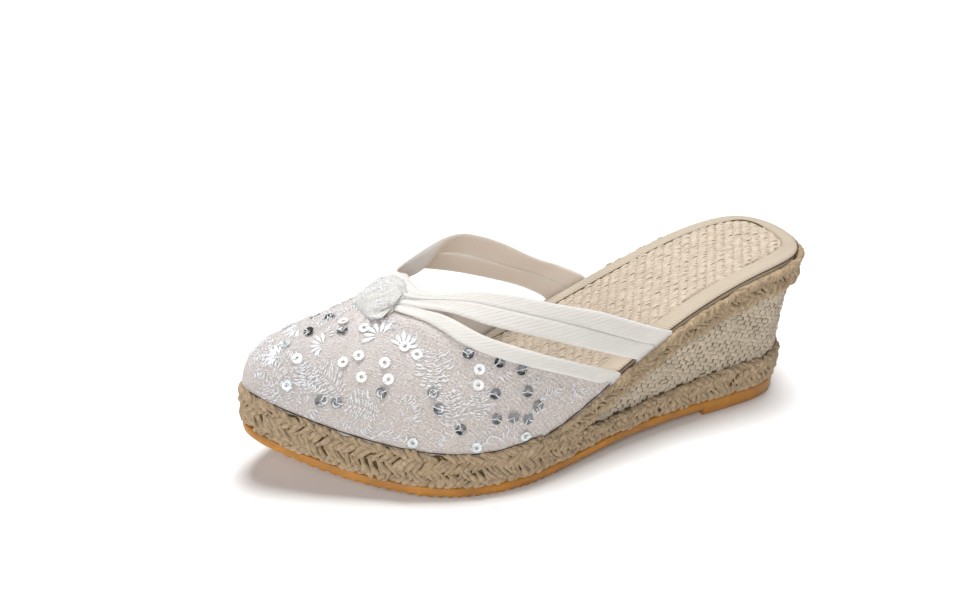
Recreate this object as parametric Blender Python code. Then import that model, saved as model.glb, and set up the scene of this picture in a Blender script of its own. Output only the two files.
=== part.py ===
"""Left wedge mule, modelled in the pieces that it is made of: a gum-rubber outsole, a cloth-covered wedge
bound by two jute braids, an insole, a hollow lace vamp, three tape straps and the lace loop that holds them.

Lengths are in millimetres and are scaled to metres when a mesh is made. +Z is up, the toe points to -Y and
the outer side of the foot is +X. The origin is on the floor, under the middle of the shoe."""

import math
from collections import namedtuple

import bmesh
import bpy
import numpy as np

MM = 0.001
GAP = 0.3

# Driving sizes
LENGTH = 245.0
HEEL_RUBBER = 7.4
SOLE_RUBBER = 4.8
TOE_SPRING = 17.7
BRAID_THICKNESS = 3.5
BRAID_ROUNDING = 0.9
BRAID_SHOULDERS = (0.3, 0.7)
UPPER_BRAID_HEIGHT = 10.5
LEAST_BRAID_HEIGHT = 1.0
CLOTH_INSET = 2.2
CLOTH_LIMITS = (0.80, 0.95)
INSOLE_THICKNESS = 4.0
INSOLE_RISE = 1.0
INSOLE_ROUNDING = 1.2
VAMP_INSET = 1.6
VAMP_WALL = 1.5
TAPE_THICKNESS = 1.2
RUBBER_EDGE_INSET = 0.5
RUBBER_TREAD_INSET = 1.6

# Places along the shoe, as shares of its length from the heel's back
LIFT_END = 0.205
WAIST_START = 0.212
WAIST_FALL = (0.40, 0.60)
SPRING_START = 0.70
TOE_BLEND = 0.05

# Fineness of the meshes
RING_HALF = 34
VAMP_ROWS = 22
VAMP_ARCS = 30
TAPE_ARCS = np.linspace(0, 2, 53)
TAPE_COLUMNS = 3
LOOP_SECTIONS = 28
OUTLINE_SAMPLES = 721
LEAST_STATION_STEP = 0.012
SHARP_ANGLE = math.radians(38.0)
WELD_DISTANCE = 1e-6
SMALL_TURN = 1e-3

Outline = namedtuple("Outline", "share lateral medial")
OUTLINE = (
    Outline(0.00, 0.0, 0.0),
    Outline(0.04, 24.6, 24.6),
    Outline(0.14, 30.9, 30.9),
    Outline(0.30, 33.2, 33.1),
    Outline(0.45, 39.0, 36.4),
    Outline(0.62, 45.6, 40.3),
    Outline(0.72, 41.4, 41.0),
    Outline(0.82, 29.0, 38.6),
    Outline(0.91, 13.4, 32.0),
    Outline(0.97, 1.0, 24.2),
    Outline(1.00, -12.3, 12.3),
)

Edge = namedtuple("Edge", "share height")
FOOTBED_EDGE = (
    Edge(0.00, 63.6),
    Edge(0.15, 58.8),
    Edge(0.30, 47.0),
    Edge(0.45, 31.8),
    Edge(0.60, 18.8),
    Edge(0.75, 16.9),
    Edge(0.90, 25.9),
    Edge(1.00, 36.0),
)
BRAID_SEAM = (
    Edge(0.00, 20.0),
    Edge(0.20, 19.0),
    Edge(0.40, 15.7),
    Edge(0.50, 15.6),
    Edge(0.58, 17.2),
    Edge(0.66, 22.0),
    Edge(1.00, 60.0),
)

# How far the heel's back lies ahead of the footbed's, by share of the footbed's height
Tuck = namedtuple("Tuck", "level depth")
HEEL_TUCK = (
    Tuck(0.00, 11.0),
    Tuck(0.12, 10.6),
    Tuck(0.31, 8.8),
    Tuck(0.45, 7.9),
    Tuck(0.60, 6.7),
    Tuck(0.80, 3.9),
    Tuck(1.00, 0.0),
)

# Height of the foot's form over the footbed's edge, and where its ridge runs
Crown = namedtuple("Crown", "share ridge height")
CROWN = (
    Crown(0.30, -6.5, 57.0),
    Crown(0.40, -7.5, 61.0),
    Crown(0.50, -8.5, 66.0),
    Crown(0.60, -9.5, 67.5),
    Crown(0.70, -10.5, 57.0),
    Crown(0.78, -12.5, 45.5),
    Crown(0.85, -14.5, 37.0),
    Crown(0.91, -15.5, 29.0),
    Crown(0.955, -15.5, 21.0),
    Crown(0.985, -15.0, 12.5),
    Crown(1.00, -14.6, 0.0),
)
LATERAL_FULLNESS = 2.05
MEDIAL_FULLNESS = 2.5
RIDGE_MARGIN = 0.3

# Tape edges and the vamp's throat as shares of the length, by arc from the footbed's edge to the ridge
TapeRow = namedtuple("TapeRow", "arc back split middle front_rear front_fore throat")
OUTER_TAPES = (
    TapeRow(0 / 6, 0.324, 0.360, 0.397, 0.430, 0.458, 0.461),
    TapeRow(1 / 6, 0.399, 0.436, 0.474, 0.507, 0.537, 0.540),
    TapeRow(2 / 6, 0.477, 0.518, 0.562, 0.597, 0.630, 0.633),
    TapeRow(3 / 6, 0.570, 0.607, 0.646, 0.668, 0.695, 0.698),
    TapeRow(4 / 6, 0.649, 0.674, 0.700, 0.708, 0.729, 0.733),
    TapeRow(5 / 6, 0.7185, 0.7315, 0.7455, 0.7495, 0.7635, 0.780),
    TapeRow(6 / 6, 0.726, 0.741, 0.757, 0.760, 0.776, 0.797),
)
INNER_TAPES = (
    TapeRow(0 / 6, 0.339, 0.376, 0.413, 0.459, 0.488, 0.491),
    TapeRow(1 / 6, 0.430, 0.469, 0.510, 0.568, 0.598, 0.601),
    TapeRow(2 / 6, 0.497, 0.551, 0.605, 0.688, 0.715, 0.718),
    TapeRow(3 / 6, 0.563, 0.626, 0.671, 0.724, 0.747, 0.751),
    TapeRow(4 / 6, 0.636, 0.681, 0.713, 0.738, 0.7575, 0.764),
    TapeRow(5 / 6, 0.7185, 0.7315, 0.7455, 0.7495, 0.7635, 0.780),
    TapeRow(6 / 6, 0.726, 0.741, 0.757, 0.760, 0.776, 0.797),
)
TAPE_GAP = 0.0011

# The lace loop: half sizes of its slot and of its outside, along the ridge and across it
LOOP_SHARE = 0.751
LOOP_SLOT = (8.1, 2.5)
LOOP_OUTSIDE = (10.4, 6.4)
LOOP_UNDERSIDE = 4.1
LOOP_HALF_WIDTH = 8.5
LOOP_SQUARENESS = 3.2
LoopPoint = namedtuple("LoopPoint", "side out")
LOOP_PROFILE = (
    LoopPoint(-1.00, 0.00),
    LoopPoint(-1.00, 0.40),
    LoopPoint(-0.82, 0.78),
    LoopPoint(-0.45, 1.00),
    LoopPoint(0.45, 1.00),
    LoopPoint(0.82, 0.78),
    LoopPoint(1.00, 0.40),
    LoopPoint(1.00, 0.00),
)
LOOP_SLOPE = math.radians(26.0)

# Colours are linear red, green and blue
Finish = namedtuple("Finish", "name colour roughness")
GUM_RUBBER = Finish("gum_rubber", (0.55, 0.29, 0.07), 0.45)
WEDGE_CLOTH = Finish("wedge_cloth", (0.56, 0.50, 0.42), 0.90)
JUTE_BRAID = Finish("jute_braid", (0.45, 0.36, 0.24), 0.95)
WOVEN_STRAW = Finish("woven_straw", (0.82, 0.71, 0.56), 0.85)
LACE = Finish("lace", (0.74, 0.71, 0.72), 0.70)
COTTON_TAPE = Finish("cotton_tape", (0.86, 0.85, 0.82), 0.85)


class Spline:
    """Natural cubic spline through a table's columns."""

    def __init__(self, knots, values):
        self.knots = np.asarray(knots, float)
        self.values = np.asarray(values, float)
        step = np.diff(self.knots)
        slope = np.diff(self.values) / step
        system = np.eye(len(self.knots))
        bend = np.zeros(len(self.knots))
        for i in range(1, len(self.knots) - 1):
            system[i, i - 1 : i + 2] = step[i - 1], 2 * (step[i - 1] + step[i]), step[i]
            bend[i] = 6 * (slope[i] - slope[i - 1])
        self.bend = np.linalg.solve(system, bend)

    def __call__(self, where):
        where = np.asarray(where, float)
        i = np.clip(np.searchsorted(self.knots, where) - 1, 0, len(self.knots) - 2)
        step = self.knots[i + 1] - self.knots[i]
        before = (self.knots[i + 1] - where) / step
        after = 1 - before
        curve = (before**3 - before) * self.bend[i] + (after**3 - after) * self.bend[i + 1]
        return before * self.values[i] + after * self.values[i + 1] + curve * step**2 / 6


def turn_of(share):
    """Angle round the sole, from 0 at the heel's back to pi at the toe, for a share of the length."""
    return np.arccos(1 - 2 * np.clip(share, 0, 1))


def share_of(turn):
    return (1 - np.cos(turn)) / 2


def table_spline(rows, column, turned=False):
    shares = np.array([row[0] for row in rows])
    values = [getattr(row, column) for row in rows]
    return Spline(turn_of(shares) if turned else shares, values)


def whole_outline():
    """Distance from the heel's centre line by the angle round the sole: outer side, then inner side."""
    ahead = [float(turn_of(row.share)) for row in OUTLINE]
    back = [2 * math.pi - turn for turn in ahead[-2::-1]]
    lateral = [row.lateral for row in OUTLINE]
    medial = [-row.medial for row in OUTLINE[-2::-1]]
    return Spline(ahead + back, lateral + medial)


SIDE = whole_outline()
SIDE_REACH = SIDE(np.linspace(0, 2 * math.pi, OUTLINE_SAMPLES))
CENTRE_SHIFT = -(SIDE_REACH.max() + SIDE_REACH.min()) / 2
EDGE = table_spline(FOOTBED_EDGE, "height")
SEAM = table_spline(BRAID_SEAM, "height")
TUCK = Spline([row.level for row in HEEL_TUCK], [row.depth for row in HEEL_TUCK])
RIDGE = table_spline(CROWN, "ridge")
CROWN_HEIGHT = table_spline(CROWN, "height", turned=True)


def floor_line(share):
    """Underside of the rubber: flat heel lift, raised waist, flat forefoot and toe spring."""
    fall_start, fall_end = WAIST_FALL
    waist = (HEEL_RUBBER - SOLE_RUBBER) * np.clip((fall_end - share) / (fall_end - fall_start), 0, 1)
    spring = TOE_SPRING * np.clip((share - SPRING_START) / (1 - SPRING_START), 0, 1) ** 2
    return np.where(share < (LIFT_END + WAIST_START) / 2, 0, waist + spring)


def rubber_top(share):
    return np.where(share < (LIFT_END + WAIST_START) / 2, HEEL_RUBBER, floor_line(share) + SOLE_RUBBER)


def lower_braid_top(share):
    return np.minimum(SEAM(share), EDGE(share))


def upper_braid_base(share):
    return np.maximum(EDGE(share) - UPPER_BRAID_HEIGHT, lower_braid_top(share) + GAP)


def outline_at(turn, tuck):
    share = share_of(turn)
    across = SIDE(np.mod(turn, 2 * math.pi)) + CENTRE_SHIFT
    along = LENGTH / 2 - tuck - (LENGTH - tuck) * share
    return np.stack([across, along], axis=-1)


def place(turn, inset, height):
    """Points on the sole's side at a height, moved in from its outline by an inset."""
    turn = np.asarray(turn, float)
    height = np.broadcast_to(height, turn.shape)
    tuck = TUCK(np.clip(height / EDGE(share_of(turn)), 0, 1))
    ahead = outline_at(turn + SMALL_TURN, tuck) - outline_at(turn - SMALL_TURN, tuck)
    outward = np.stack([-ahead[..., 1], ahead[..., 0]], axis=-1)
    outward /= np.linalg.norm(outward, axis=-1, keepdims=True)
    plan = outline_at(turn, tuck) - np.asarray(inset, float)[..., None] * outward
    return np.concatenate([plan, height[..., None]], axis=-1)


def ring_turns():
    """Angles round the sole, equal on both sides, with a pair at the front of the heel lift."""
    half = (np.arange(RING_HALF) + 0.5) * math.pi / RING_HALF
    half = half[np.abs(share_of(half) - LIFT_END) > LEAST_STATION_STEP]
    half = np.sort(np.append(half, [turn_of(LIFT_END), turn_of(WAIST_START)]))
    return np.concatenate([half, 2 * math.pi - half[::-1]])


def foot_form(share, arc, grow):
    """Points on the foot's form. Arc runs from 0 at the outer edge through 1 at the ridge to 2 at the inner
    edge, and grow moves the surface outwards."""
    share, arc = np.broadcast_arrays(np.asarray(share, float), np.asarray(arc, float))
    turn = turn_of(share)
    edge = EDGE(share) + GAP
    outer = place(turn, VAMP_INSET - grow + 0 * share, EDGE(share))
    inner = place(2 * math.pi - turn, VAMP_INSET - grow + 0 * share, EDGE(share))
    width = outer[..., 0] - inner[..., 0]
    margin = RIDGE_MARGIN * width
    ridge = np.clip(RIDGE(share), inner[..., 0] + margin, outer[..., 0] - margin)
    crown = CROWN_HEIGHT(turn) + grow * np.minimum(1, (1 - share) / TOE_BLEND)
    swing = arc * math.pi / 2
    run, lift = np.cos(swing), np.abs(np.sin(swing))
    power = 2 / np.where(run > 0, LATERAL_FULLNESS, MEDIAL_FULLNESS)
    reach = np.where(run > 0, outer[..., 0] - ridge, ridge - inner[..., 0])
    x = ridge + np.sign(run) * reach * np.abs(run) ** power
    blend = (x - inner[..., 0]) / np.maximum(width, WELD_DISTANCE)
    y = inner[..., 1] + blend * (outer[..., 1] - inner[..., 1])
    return np.stack([x, y, edge + crown * lift**power], axis=-1)


def loft(name, sections, material, closed=False):
    """Solid through sections of equal point count. Rungs across a section's halves cap the open ends."""
    sections = np.asarray(sections, float) * MM
    rows, count = sections.shape[:2]
    mesh_data = bmesh.new()
    verts = [[mesh_data.verts.new(point) for point in section] for section in sections]
    for row in range(rows if closed else rows - 1):
        here, there = verts[row], verts[(row + 1) % rows]
        for k in range(count):
            mesh_data.faces.new((here[k], here[(k + 1) % count], there[(k + 1) % count], there[k]))
    if not closed:
        for section in (verts[0], verts[-1]):
            for k in range(count // 2 - 1):
                left, right = section[k], section[count - 1 - k]
                mesh_data.faces.new((left, section[k + 1], section[count - 2 - k], right))
    bmesh.ops.remove_doubles(mesh_data, verts=mesh_data.verts, dist=WELD_DISTANCE)
    bmesh.ops.recalc_face_normals(mesh_data, faces=mesh_data.faces)
    mesh = bpy.data.meshes.new(name)
    mesh_data.to_mesh(mesh)
    mesh_data.free()
    mesh.shade_smooth()
    mesh.set_sharp_from_angle(angle=SHARP_ANGLE)
    mesh.materials.append(material)
    piece = bpy.data.objects.new(name, mesh)
    bpy.context.scene.collection.objects.link(piece)
    return piece


def material_of(finish):
    material = bpy.data.materials.new(finish.name)
    material.use_nodes = True
    shader = material.node_tree.nodes["Principled BSDF"]
    shader.inputs["Base Color"].default_value = (*finish.colour, 1.0)
    shader.inputs["Roughness"].default_value = finish.roughness
    shader.inputs["Metallic"].default_value = 0.0
    return material


def outsole(rubber):
    turns = ring_turns()
    share = share_of(turns)
    tread = place(turns, np.full_like(turns, RUBBER_TREAD_INSET), floor_line(share))
    top = place(turns, np.full_like(turns, RUBBER_EDGE_INSET), rubber_top(share))
    return loft("outsole", [tread, top], rubber)


def wedge(cloth):
    turns = ring_turns()
    share = share_of(turns)
    hidden = np.full_like(turns, BRAID_THICKNESS + GAP)
    bottom = rubber_top(share) + GAP
    top = EDGE(share) + INSOLE_RISE - INSOLE_THICKNESS - GAP
    room = upper_braid_base(share) - lower_braid_top(share) - 2 * GAP
    showing = np.clip(room / UPPER_BRAID_HEIGHT, 0, 1)
    inset = hidden - (hidden - CLOTH_INSET) * showing
    lowest, highest = (bottom + limit * (top - bottom) for limit in CLOTH_LIMITS)
    low = np.minimum(lower_braid_top(share) + GAP, lowest)
    high = np.maximum(low + GAP, np.minimum(upper_braid_base(share) - GAP, highest))
    levels = (
        place(turns, hidden, bottom),
        place(turns, hidden, low),
        place(turns, inset, low),
        place(turns, inset, (low + high) / 2),
        place(turns, inset, high),
        place(turns, hidden, high),
        place(turns, hidden, top),
    )
    return loft("wedge", levels, cloth)


def braid_sections(turns, base, top):
    """Cross-sections of a plaited band: flat against the wedge and rounded outside."""
    inside = np.full_like(turns, BRAID_THICKNESS)
    corner = np.full_like(turns, BRAID_ROUNDING)
    outside = np.zeros_like(turns)
    low, high = (base + share * (top - base) for share in BRAID_SHOULDERS)
    corners = (
        place(turns, inside, base),
        place(turns, corner, base),
        place(turns, outside, low),
        place(turns, outside, high),
        place(turns, corner, top),
        place(turns, inside, top),
    )
    return np.stack(corners, axis=1)


def lower_braid(jute):
    turns = ring_turns()
    share = share_of(turns)
    sections = braid_sections(turns, rubber_top(share) + GAP, lower_braid_top(share))
    return loft("lower_braid", sections, jute, closed=True)


def upper_braid(jute):
    turns = ring_turns()
    share = share_of(turns)
    shows = EDGE(share) - upper_braid_base(share) > LEAST_BRAID_HEIGHT
    inner = turns[shows & (turns > math.pi)]
    outer = turns[shows & (turns < math.pi)]
    around = np.concatenate([inner, outer + 2 * math.pi])
    share = share_of(around)
    return loft("upper_braid", braid_sections(around, upper_braid_base(share), EDGE(share)), jute)


def insole(straw):
    turns = ring_turns()
    inset = np.full_like(turns, BRAID_THICKNESS + GAP)
    top = EDGE(share_of(turns)) + INSOLE_RISE
    levels = (
        place(turns, inset, top - INSOLE_THICKNESS),
        place(turns, inset, top - INSOLE_ROUNDING),
        place(turns, inset + INSOLE_ROUNDING, top),
    )
    return loft("insole", levels, straw)


def tape_share(column, arc):
    """Place along the shoe of a tape's edge or of the throat, for an arc across the foot's form."""
    outer = table_spline(OUTER_TAPES, column)(np.minimum(arc, 1))
    inner = table_spline(INNER_TAPES, column)(np.minimum(2 - arc, 1))
    return np.where(arc > 1, inner, outer)


def upper(lace):
    """Hollow vamp: rows run from the throat to the toe, and each row crosses from edge to edge."""
    arcs = np.linspace(0, 2, VAMP_ARCS + 1)
    throat = turn_of(tape_share("throat", arcs))
    sections = []
    for row in range(VAMP_ROWS + 1):
        share = share_of(throat + (math.pi - throat) * row / VAMP_ROWS)
        outside = foot_form(share, arcs, 0.0)
        inside = foot_form(share, arcs, -VAMP_WALL)
        sections.append(np.concatenate([outside, inside[::-1]]))
    return loft("upper", sections, lace)


def tape(name, rear, fore, cotton):
    """A tape from the footbed's outer edge over the ridge to its inner edge, between two rows of shares."""
    sections = []
    for arc, start, end in zip(TAPE_ARCS, rear, fore):
        shares = np.linspace(start, end, TAPE_COLUMNS)
        under = foot_form(shares, arc, GAP)
        over = foot_form(shares, arc, GAP + TAPE_THICKNESS)
        sections.append(np.concatenate([over, under[::-1]]))
    return loft(name, sections, cotton)


def straps(cotton):
    split = tape_share("split", TAPE_ARCS)
    tape("strap_back", tape_share("back", TAPE_ARCS), split - TAPE_GAP, cotton)
    tape("strap_middle", split + TAPE_GAP, tape_share("middle", TAPE_ARCS), cotton)
    front_rear = tape_share("front_rear", TAPE_ARCS)
    front_fore = tape_share("front_fore", TAPE_ARCS)
    tape("strap_front", front_rear, front_fore, cotton)


def lace_loop(lace):
    """Plump ring of gathered lace whose slot the three tapes run through."""
    centre = foot_form(LOOP_SHARE, 1.0, GAP + TAPE_THICKNESS / 2)
    along = np.array([0.0, -math.cos(LOOP_SLOPE), -math.sin(LOOP_SLOPE)])
    upward = np.array([0.0, -math.sin(LOOP_SLOPE), math.cos(LOOP_SLOPE)])
    across = np.array([1.0, 0.0, 0.0])
    sections = []
    for turn in np.arange(LOOP_SECTIONS) * 2 * math.pi / LOOP_SECTIONS:
        run, climb = math.cos(turn), math.sin(turn)
        square = (abs(run) ** LOOP_SQUARENESS + abs(climb) ** LOOP_SQUARENESS) ** (-1 / LOOP_SQUARENESS)
        slot = np.array([LOOP_SLOT[0] * run, LOOP_SLOT[1] * climb]) * square
        depth = LOOP_OUTSIDE[1] if climb > 0 else LOOP_UNDERSIDE
        outside = np.array([LOOP_OUTSIDE[0] * run, depth * climb])
        section = []
        for side, out in LOOP_PROFILE:
            flat = slot + (outside - slot) * out
            section.append(centre + across * side * LOOP_HALF_WIDTH + along * flat[0] + upward * flat[1])
        sections.append(section)
    return loft("lace_loop", sections, lace, closed=True)


def clear_scene():
    for item in list(bpy.data.objects):
        bpy.data.objects.remove(item, do_unlink=True)


def main():
    clear_scene()
    jute = material_of(JUTE_BRAID)
    lace = material_of(LACE)
    outsole(material_of(GUM_RUBBER))
    wedge(material_of(WEDGE_CLOTH))
    lower_braid(jute)
    upper_braid(jute)
    insole(material_of(WOVEN_STRAW))
    upper(lace)
    straps(material_of(COTTON_TAPE))
    lace_loop(lace)


if __name__ == "__main__":
    main()
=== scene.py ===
"""Looks of a left wedge mule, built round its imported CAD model: gum-rubber outsole, woven cloth wedge, two
plaited jute bands, straw footbed, embroidered lace vamp, cotton tapes and the gathered loop that holds them.

Sizes in the tables and functions are millimetres. The shoe's toe points to -Y, its outer side to +X.
"""

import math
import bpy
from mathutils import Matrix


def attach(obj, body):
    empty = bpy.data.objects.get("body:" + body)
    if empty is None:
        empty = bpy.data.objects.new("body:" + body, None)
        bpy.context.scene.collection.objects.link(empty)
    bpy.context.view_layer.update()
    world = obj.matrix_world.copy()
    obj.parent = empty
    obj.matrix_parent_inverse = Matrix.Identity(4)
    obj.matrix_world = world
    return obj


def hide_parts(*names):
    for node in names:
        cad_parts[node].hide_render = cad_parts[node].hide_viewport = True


bl_info = {
    "name": "Wedge Mule",
    "version": (1, 0, 0),
    "blender": (4, 5, 0),
    "location": "3D View > Sidebar > Mule",
    "description": "Builds the plaited, woven and embroidered pieces of a wedge mule on its CAD frame",
    "category": "Object",
}

from collections import namedtuple

import bpy
import numpy as np
from mathutils import Vector

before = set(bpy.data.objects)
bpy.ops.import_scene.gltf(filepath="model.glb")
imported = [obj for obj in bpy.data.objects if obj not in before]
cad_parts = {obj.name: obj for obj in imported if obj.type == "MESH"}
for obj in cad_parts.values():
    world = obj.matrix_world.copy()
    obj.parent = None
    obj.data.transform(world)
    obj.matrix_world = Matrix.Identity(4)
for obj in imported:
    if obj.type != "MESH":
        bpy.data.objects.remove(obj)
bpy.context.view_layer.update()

MM = 0.001
FULL_TURN = 2 * math.pi
SMALL_TURN = 1e-3
TINY = 1e-6
SEED = 20

# Form of the shoe
LENGTH = 245.0
GAP = 0.3
HEEL_RUBBER = 7.4
SOLE_RUBBER = 4.8
TOE_SPRING = 17.7
BRAID_THICKNESS = 3.5
UPPER_BRAID_HEIGHT = 10.5
LEAST_BRAID_HEIGHT = 0.6
CLOTH_INSET = 2.2
INSOLE_THICKNESS = 4.0
INSOLE_RISE = 1.0
VAMP_INSET = 1.6
VAMP_WALL = 1.5

# Places along the shoe, as shares of its length from the heel's back
LIFT_END = 0.205
WAIST_START = 0.212
WAIST_FALL = (0.40, 0.60)
SPRING_START = 0.70
TOE_BLEND = 0.05

# Outline of the sole: distances of its outer and inner sides from the heel's centre line
Outline = namedtuple("Outline", "share lateral medial")
OUTLINE = (
    Outline(0.00, 0.0, 0.0),
    Outline(0.04, 24.6, 24.6),
    Outline(0.14, 30.9, 30.9),
    Outline(0.30, 33.2, 33.1),
    Outline(0.45, 39.0, 36.4),
    Outline(0.62, 45.6, 40.3),
    Outline(0.72, 41.4, 41.0),
    Outline(0.82, 29.0, 38.6),
    Outline(0.91, 13.4, 32.0),
    Outline(0.97, 1.0, 24.2),
    Outline(1.00, -12.3, 12.3),
)

# Heights of the footbed's edge, and of the seam along the top of the lower plait
Edge = namedtuple("Edge", "share height")
FOOTBED_EDGE = (
    Edge(0.00, 63.6),
    Edge(0.15, 58.8),
    Edge(0.30, 47.0),
    Edge(0.45, 31.8),
    Edge(0.60, 18.8),
    Edge(0.75, 16.9),
    Edge(0.90, 25.9),
    Edge(1.00, 36.0),
)
BRAID_SEAM = (
    Edge(0.00, 20.0),
    Edge(0.20, 19.0),
    Edge(0.40, 15.7),
    Edge(0.50, 15.6),
    Edge(0.58, 17.2),
    Edge(0.66, 22.0),
    Edge(1.00, 60.0),
)

# How far the heel's back lies ahead of the footbed's, by share of the footbed's height
Tuck = namedtuple("Tuck", "level depth")
HEEL_TUCK = (
    Tuck(0.00, 11.0),
    Tuck(0.12, 10.6),
    Tuck(0.31, 8.8),
    Tuck(0.45, 7.9),
    Tuck(0.60, 6.7),
    Tuck(0.80, 3.9),
    Tuck(1.00, 0.0),
)

# Height of the foot's form over the footbed's edge, and where its ridge runs
Crown = namedtuple("Crown", "share ridge height")
CROWN = (
    Crown(0.30, -6.5, 57.0),
    Crown(0.40, -7.5, 61.0),
    Crown(0.50, -8.5, 66.0),
    Crown(0.60, -9.5, 67.5),
    Crown(0.70, -10.5, 57.0),
    Crown(0.78, -12.5, 45.5),
    Crown(0.85, -14.5, 37.0),
    Crown(0.91, -15.5, 29.0),
    Crown(0.955, -15.5, 21.0),
    Crown(0.985, -15.0, 12.5),
    Crown(1.00, -14.6, 0.0),
)
LATERAL_FULLNESS = 2.05
MEDIAL_FULLNESS = 2.5
RIDGE_MARGIN = 0.3

# Tape edges and the vamp's throat as shares of the length, by arc from the footbed's edge to the ridge
TapeRow = namedtuple("TapeRow", "arc back split middle front_rear front_fore throat")
OUTER_TAPES = (
    TapeRow(0 / 6, 0.324, 0.360, 0.397, 0.430, 0.458, 0.461),
    TapeRow(1 / 6, 0.399, 0.436, 0.474, 0.507, 0.537, 0.540),
    TapeRow(2 / 6, 0.477, 0.518, 0.562, 0.597, 0.630, 0.633),
    TapeRow(3 / 6, 0.570, 0.607, 0.646, 0.668, 0.695, 0.698),
    TapeRow(4 / 6, 0.649, 0.674, 0.700, 0.708, 0.729, 0.733),
    TapeRow(5 / 6, 0.7185, 0.7315, 0.7455, 0.7495, 0.7635, 0.780),
    TapeRow(6 / 6, 0.726, 0.741, 0.757, 0.760, 0.776, 0.797),
)
INNER_TAPES = (
    TapeRow(0 / 6, 0.339, 0.376, 0.413, 0.459, 0.488, 0.491),
    TapeRow(1 / 6, 0.430, 0.469, 0.510, 0.568, 0.598, 0.601),
    TapeRow(2 / 6, 0.497, 0.551, 0.605, 0.688, 0.715, 0.718),
    TapeRow(3 / 6, 0.563, 0.626, 0.671, 0.724, 0.747, 0.751),
    TapeRow(4 / 6, 0.636, 0.681, 0.713, 0.738, 0.7575, 0.764),
    TapeRow(5 / 6, 0.7185, 0.7315, 0.7455, 0.7495, 0.7635, 0.780),
    TapeRow(6 / 6, 0.726, 0.741, 0.757, 0.760, 0.776, 0.797),
)

# The gathered loop and the half sizes of its slot, along the ridge and across it
LOOP_SHARE = 0.769
LOOP_SLOT = (8.6, 1.4)
LOOP_UNDERSIDE = 4.1
LOOP_HALF_WIDTH = 9.6
LOOP_SQUARENESS = 3.2
LOOP_SLOPE = math.radians(26.0)

# Creases in the vamp, from one place to another, as soft ridges and, with a negative rise, troughs
Crease = namedtuple("Crease", "share arc to_share to_arc rise width")
CREASES = (
    Crease(0.775, 0.80, 0.700, 0.48, 0.7, 3.0),
    Crease(0.790, 0.78, 0.720, 0.40, -0.6, 3.2),
    Crease(0.800, 0.82, 0.800, 0.45, 0.5, 4.0),
    Crease(0.815, 0.85, 0.860, 0.50, -0.5, 4.5),
    Crease(0.730, 0.42, 0.655, 0.26, -0.5, 3.0),
    Crease(0.640, 0.30, 0.560, 0.10, -0.4, 3.5),
    Crease(0.775, 1.20, 0.710, 1.50, 0.7, 3.0),
    Crease(0.795, 1.22, 0.790, 1.58, -0.5, 3.8),
    Crease(0.820, 1.15, 0.870, 1.45, -0.4, 4.5),
    Crease(0.700, 1.62, 0.590, 1.84, -0.4, 3.5),
)

# Embroidered motifs on the vamp: kind, place, turn in degrees from the toe's direction, and length
Motif = namedtuple("Motif", "kind share arc turn size")
MOTIFS = (
    Motif("blossom", 0.800, 0.70, 70, 13),
    Motif("blossom", 0.775, 0.60, 120, 11),
    Motif("blossom", 0.880, 0.72, 20, 10),
    Motif("fern", 0.748, 0.44, 100, 15),
    Motif("fern", 0.735, 0.24, 95, 13),
    Motif("fern", 0.890, 0.40, 40, 13),
    Motif("fern", 0.852, 0.24, 10, 12),
    Motif("spray", 0.915, 0.28, 30, 12),
    Motif("spray", 0.930, 0.55, 60, 11),
    Motif("spray", 0.765, 0.10, 150, 12),
    Motif("spray", 0.640, 0.33, 140, 9),
    Motif("vine", 0.590, 0.14, 160, 18),
    Motif("vine", 0.680, 0.08, 175, 16),
    Motif("vine", 0.830, 0.10, 170, 15),
    Motif("vine", 0.530, 0.10, 155, 12),
    Motif("spray", 0.960, 0.55, 20, 9),
    Motif("vine", 0.950, 0.85, 80, 11),
    Motif("blossom", 0.900, 1.00, 0, 11),
    Motif("fern", 0.850, 1.02, 10, 12),
    Motif("blossom", 0.800, 1.32, -70, 12),
    Motif("blossom", 0.860, 1.42, -30, 10),
    Motif("fern", 0.755, 1.52, -100, 14),
    Motif("fern", 0.700, 1.66, -95, 12),
    Motif("fern", 0.890, 1.60, -40, 12),
    Motif("spray", 0.920, 1.35, -30, 11),
    Motif("spray", 0.820, 1.72, -150, 12),
    Motif("spray", 0.640, 1.72, -140, 9),
    Motif("vine", 0.580, 1.86, -160, 16),
    Motif("vine", 0.720, 1.88, -175, 15),
    Motif("vine", 0.850, 1.88, -170, 14),
    Motif("spray", 0.960, 1.45, -20, 9),
    Motif("spray", 0.870, 0.88, 60, 9),
    Motif("blossom", 0.945, 0.72, 40, 9),
    Motif("spray", 0.975, 0.75, 10, 8),
    Motif("fern", 0.920, 0.42, 70, 10),
    Motif("spray", 0.860, 0.12, 160, 10),
    Motif("fern", 0.690, 0.22, 100, 10),
    Motif("spray", 0.600, 0.24, 130, 9),
    Motif("fern", 0.520, 0.05, 150, 10),
    Motif("spray", 0.790, 0.25, 60, 10),
    Motif("fern", 0.780, 0.80, 110, 9),
    Motif("spray", 0.815, 0.98, 0, 9),
    Motif("spray", 0.780, 1.22, -70, 9),
    Motif("fern", 0.840, 1.62, -60, 10),
    Motif("spray", 0.600, 1.80, -130, 9),
    Motif("spray", 0.930, 1.62, -70, 10),
    Motif("spray", 0.955, 0.28, 40, 9),
    Motif("spray", 0.978, 0.42, 20, 8),
    Motif("fern", 0.958, 0.72, 30, 9),
    Motif("spray", 0.925, 0.12, 150, 9),
    Motif("fern", 0.970, 0.15, 60, 8),
    Motif("spray", 0.880, 0.06, 170, 8),
    Motif("spray", 0.960, 1.00, 0, 9),
    Motif("spray", 0.935, 1.85, -150, 9),
)

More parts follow.
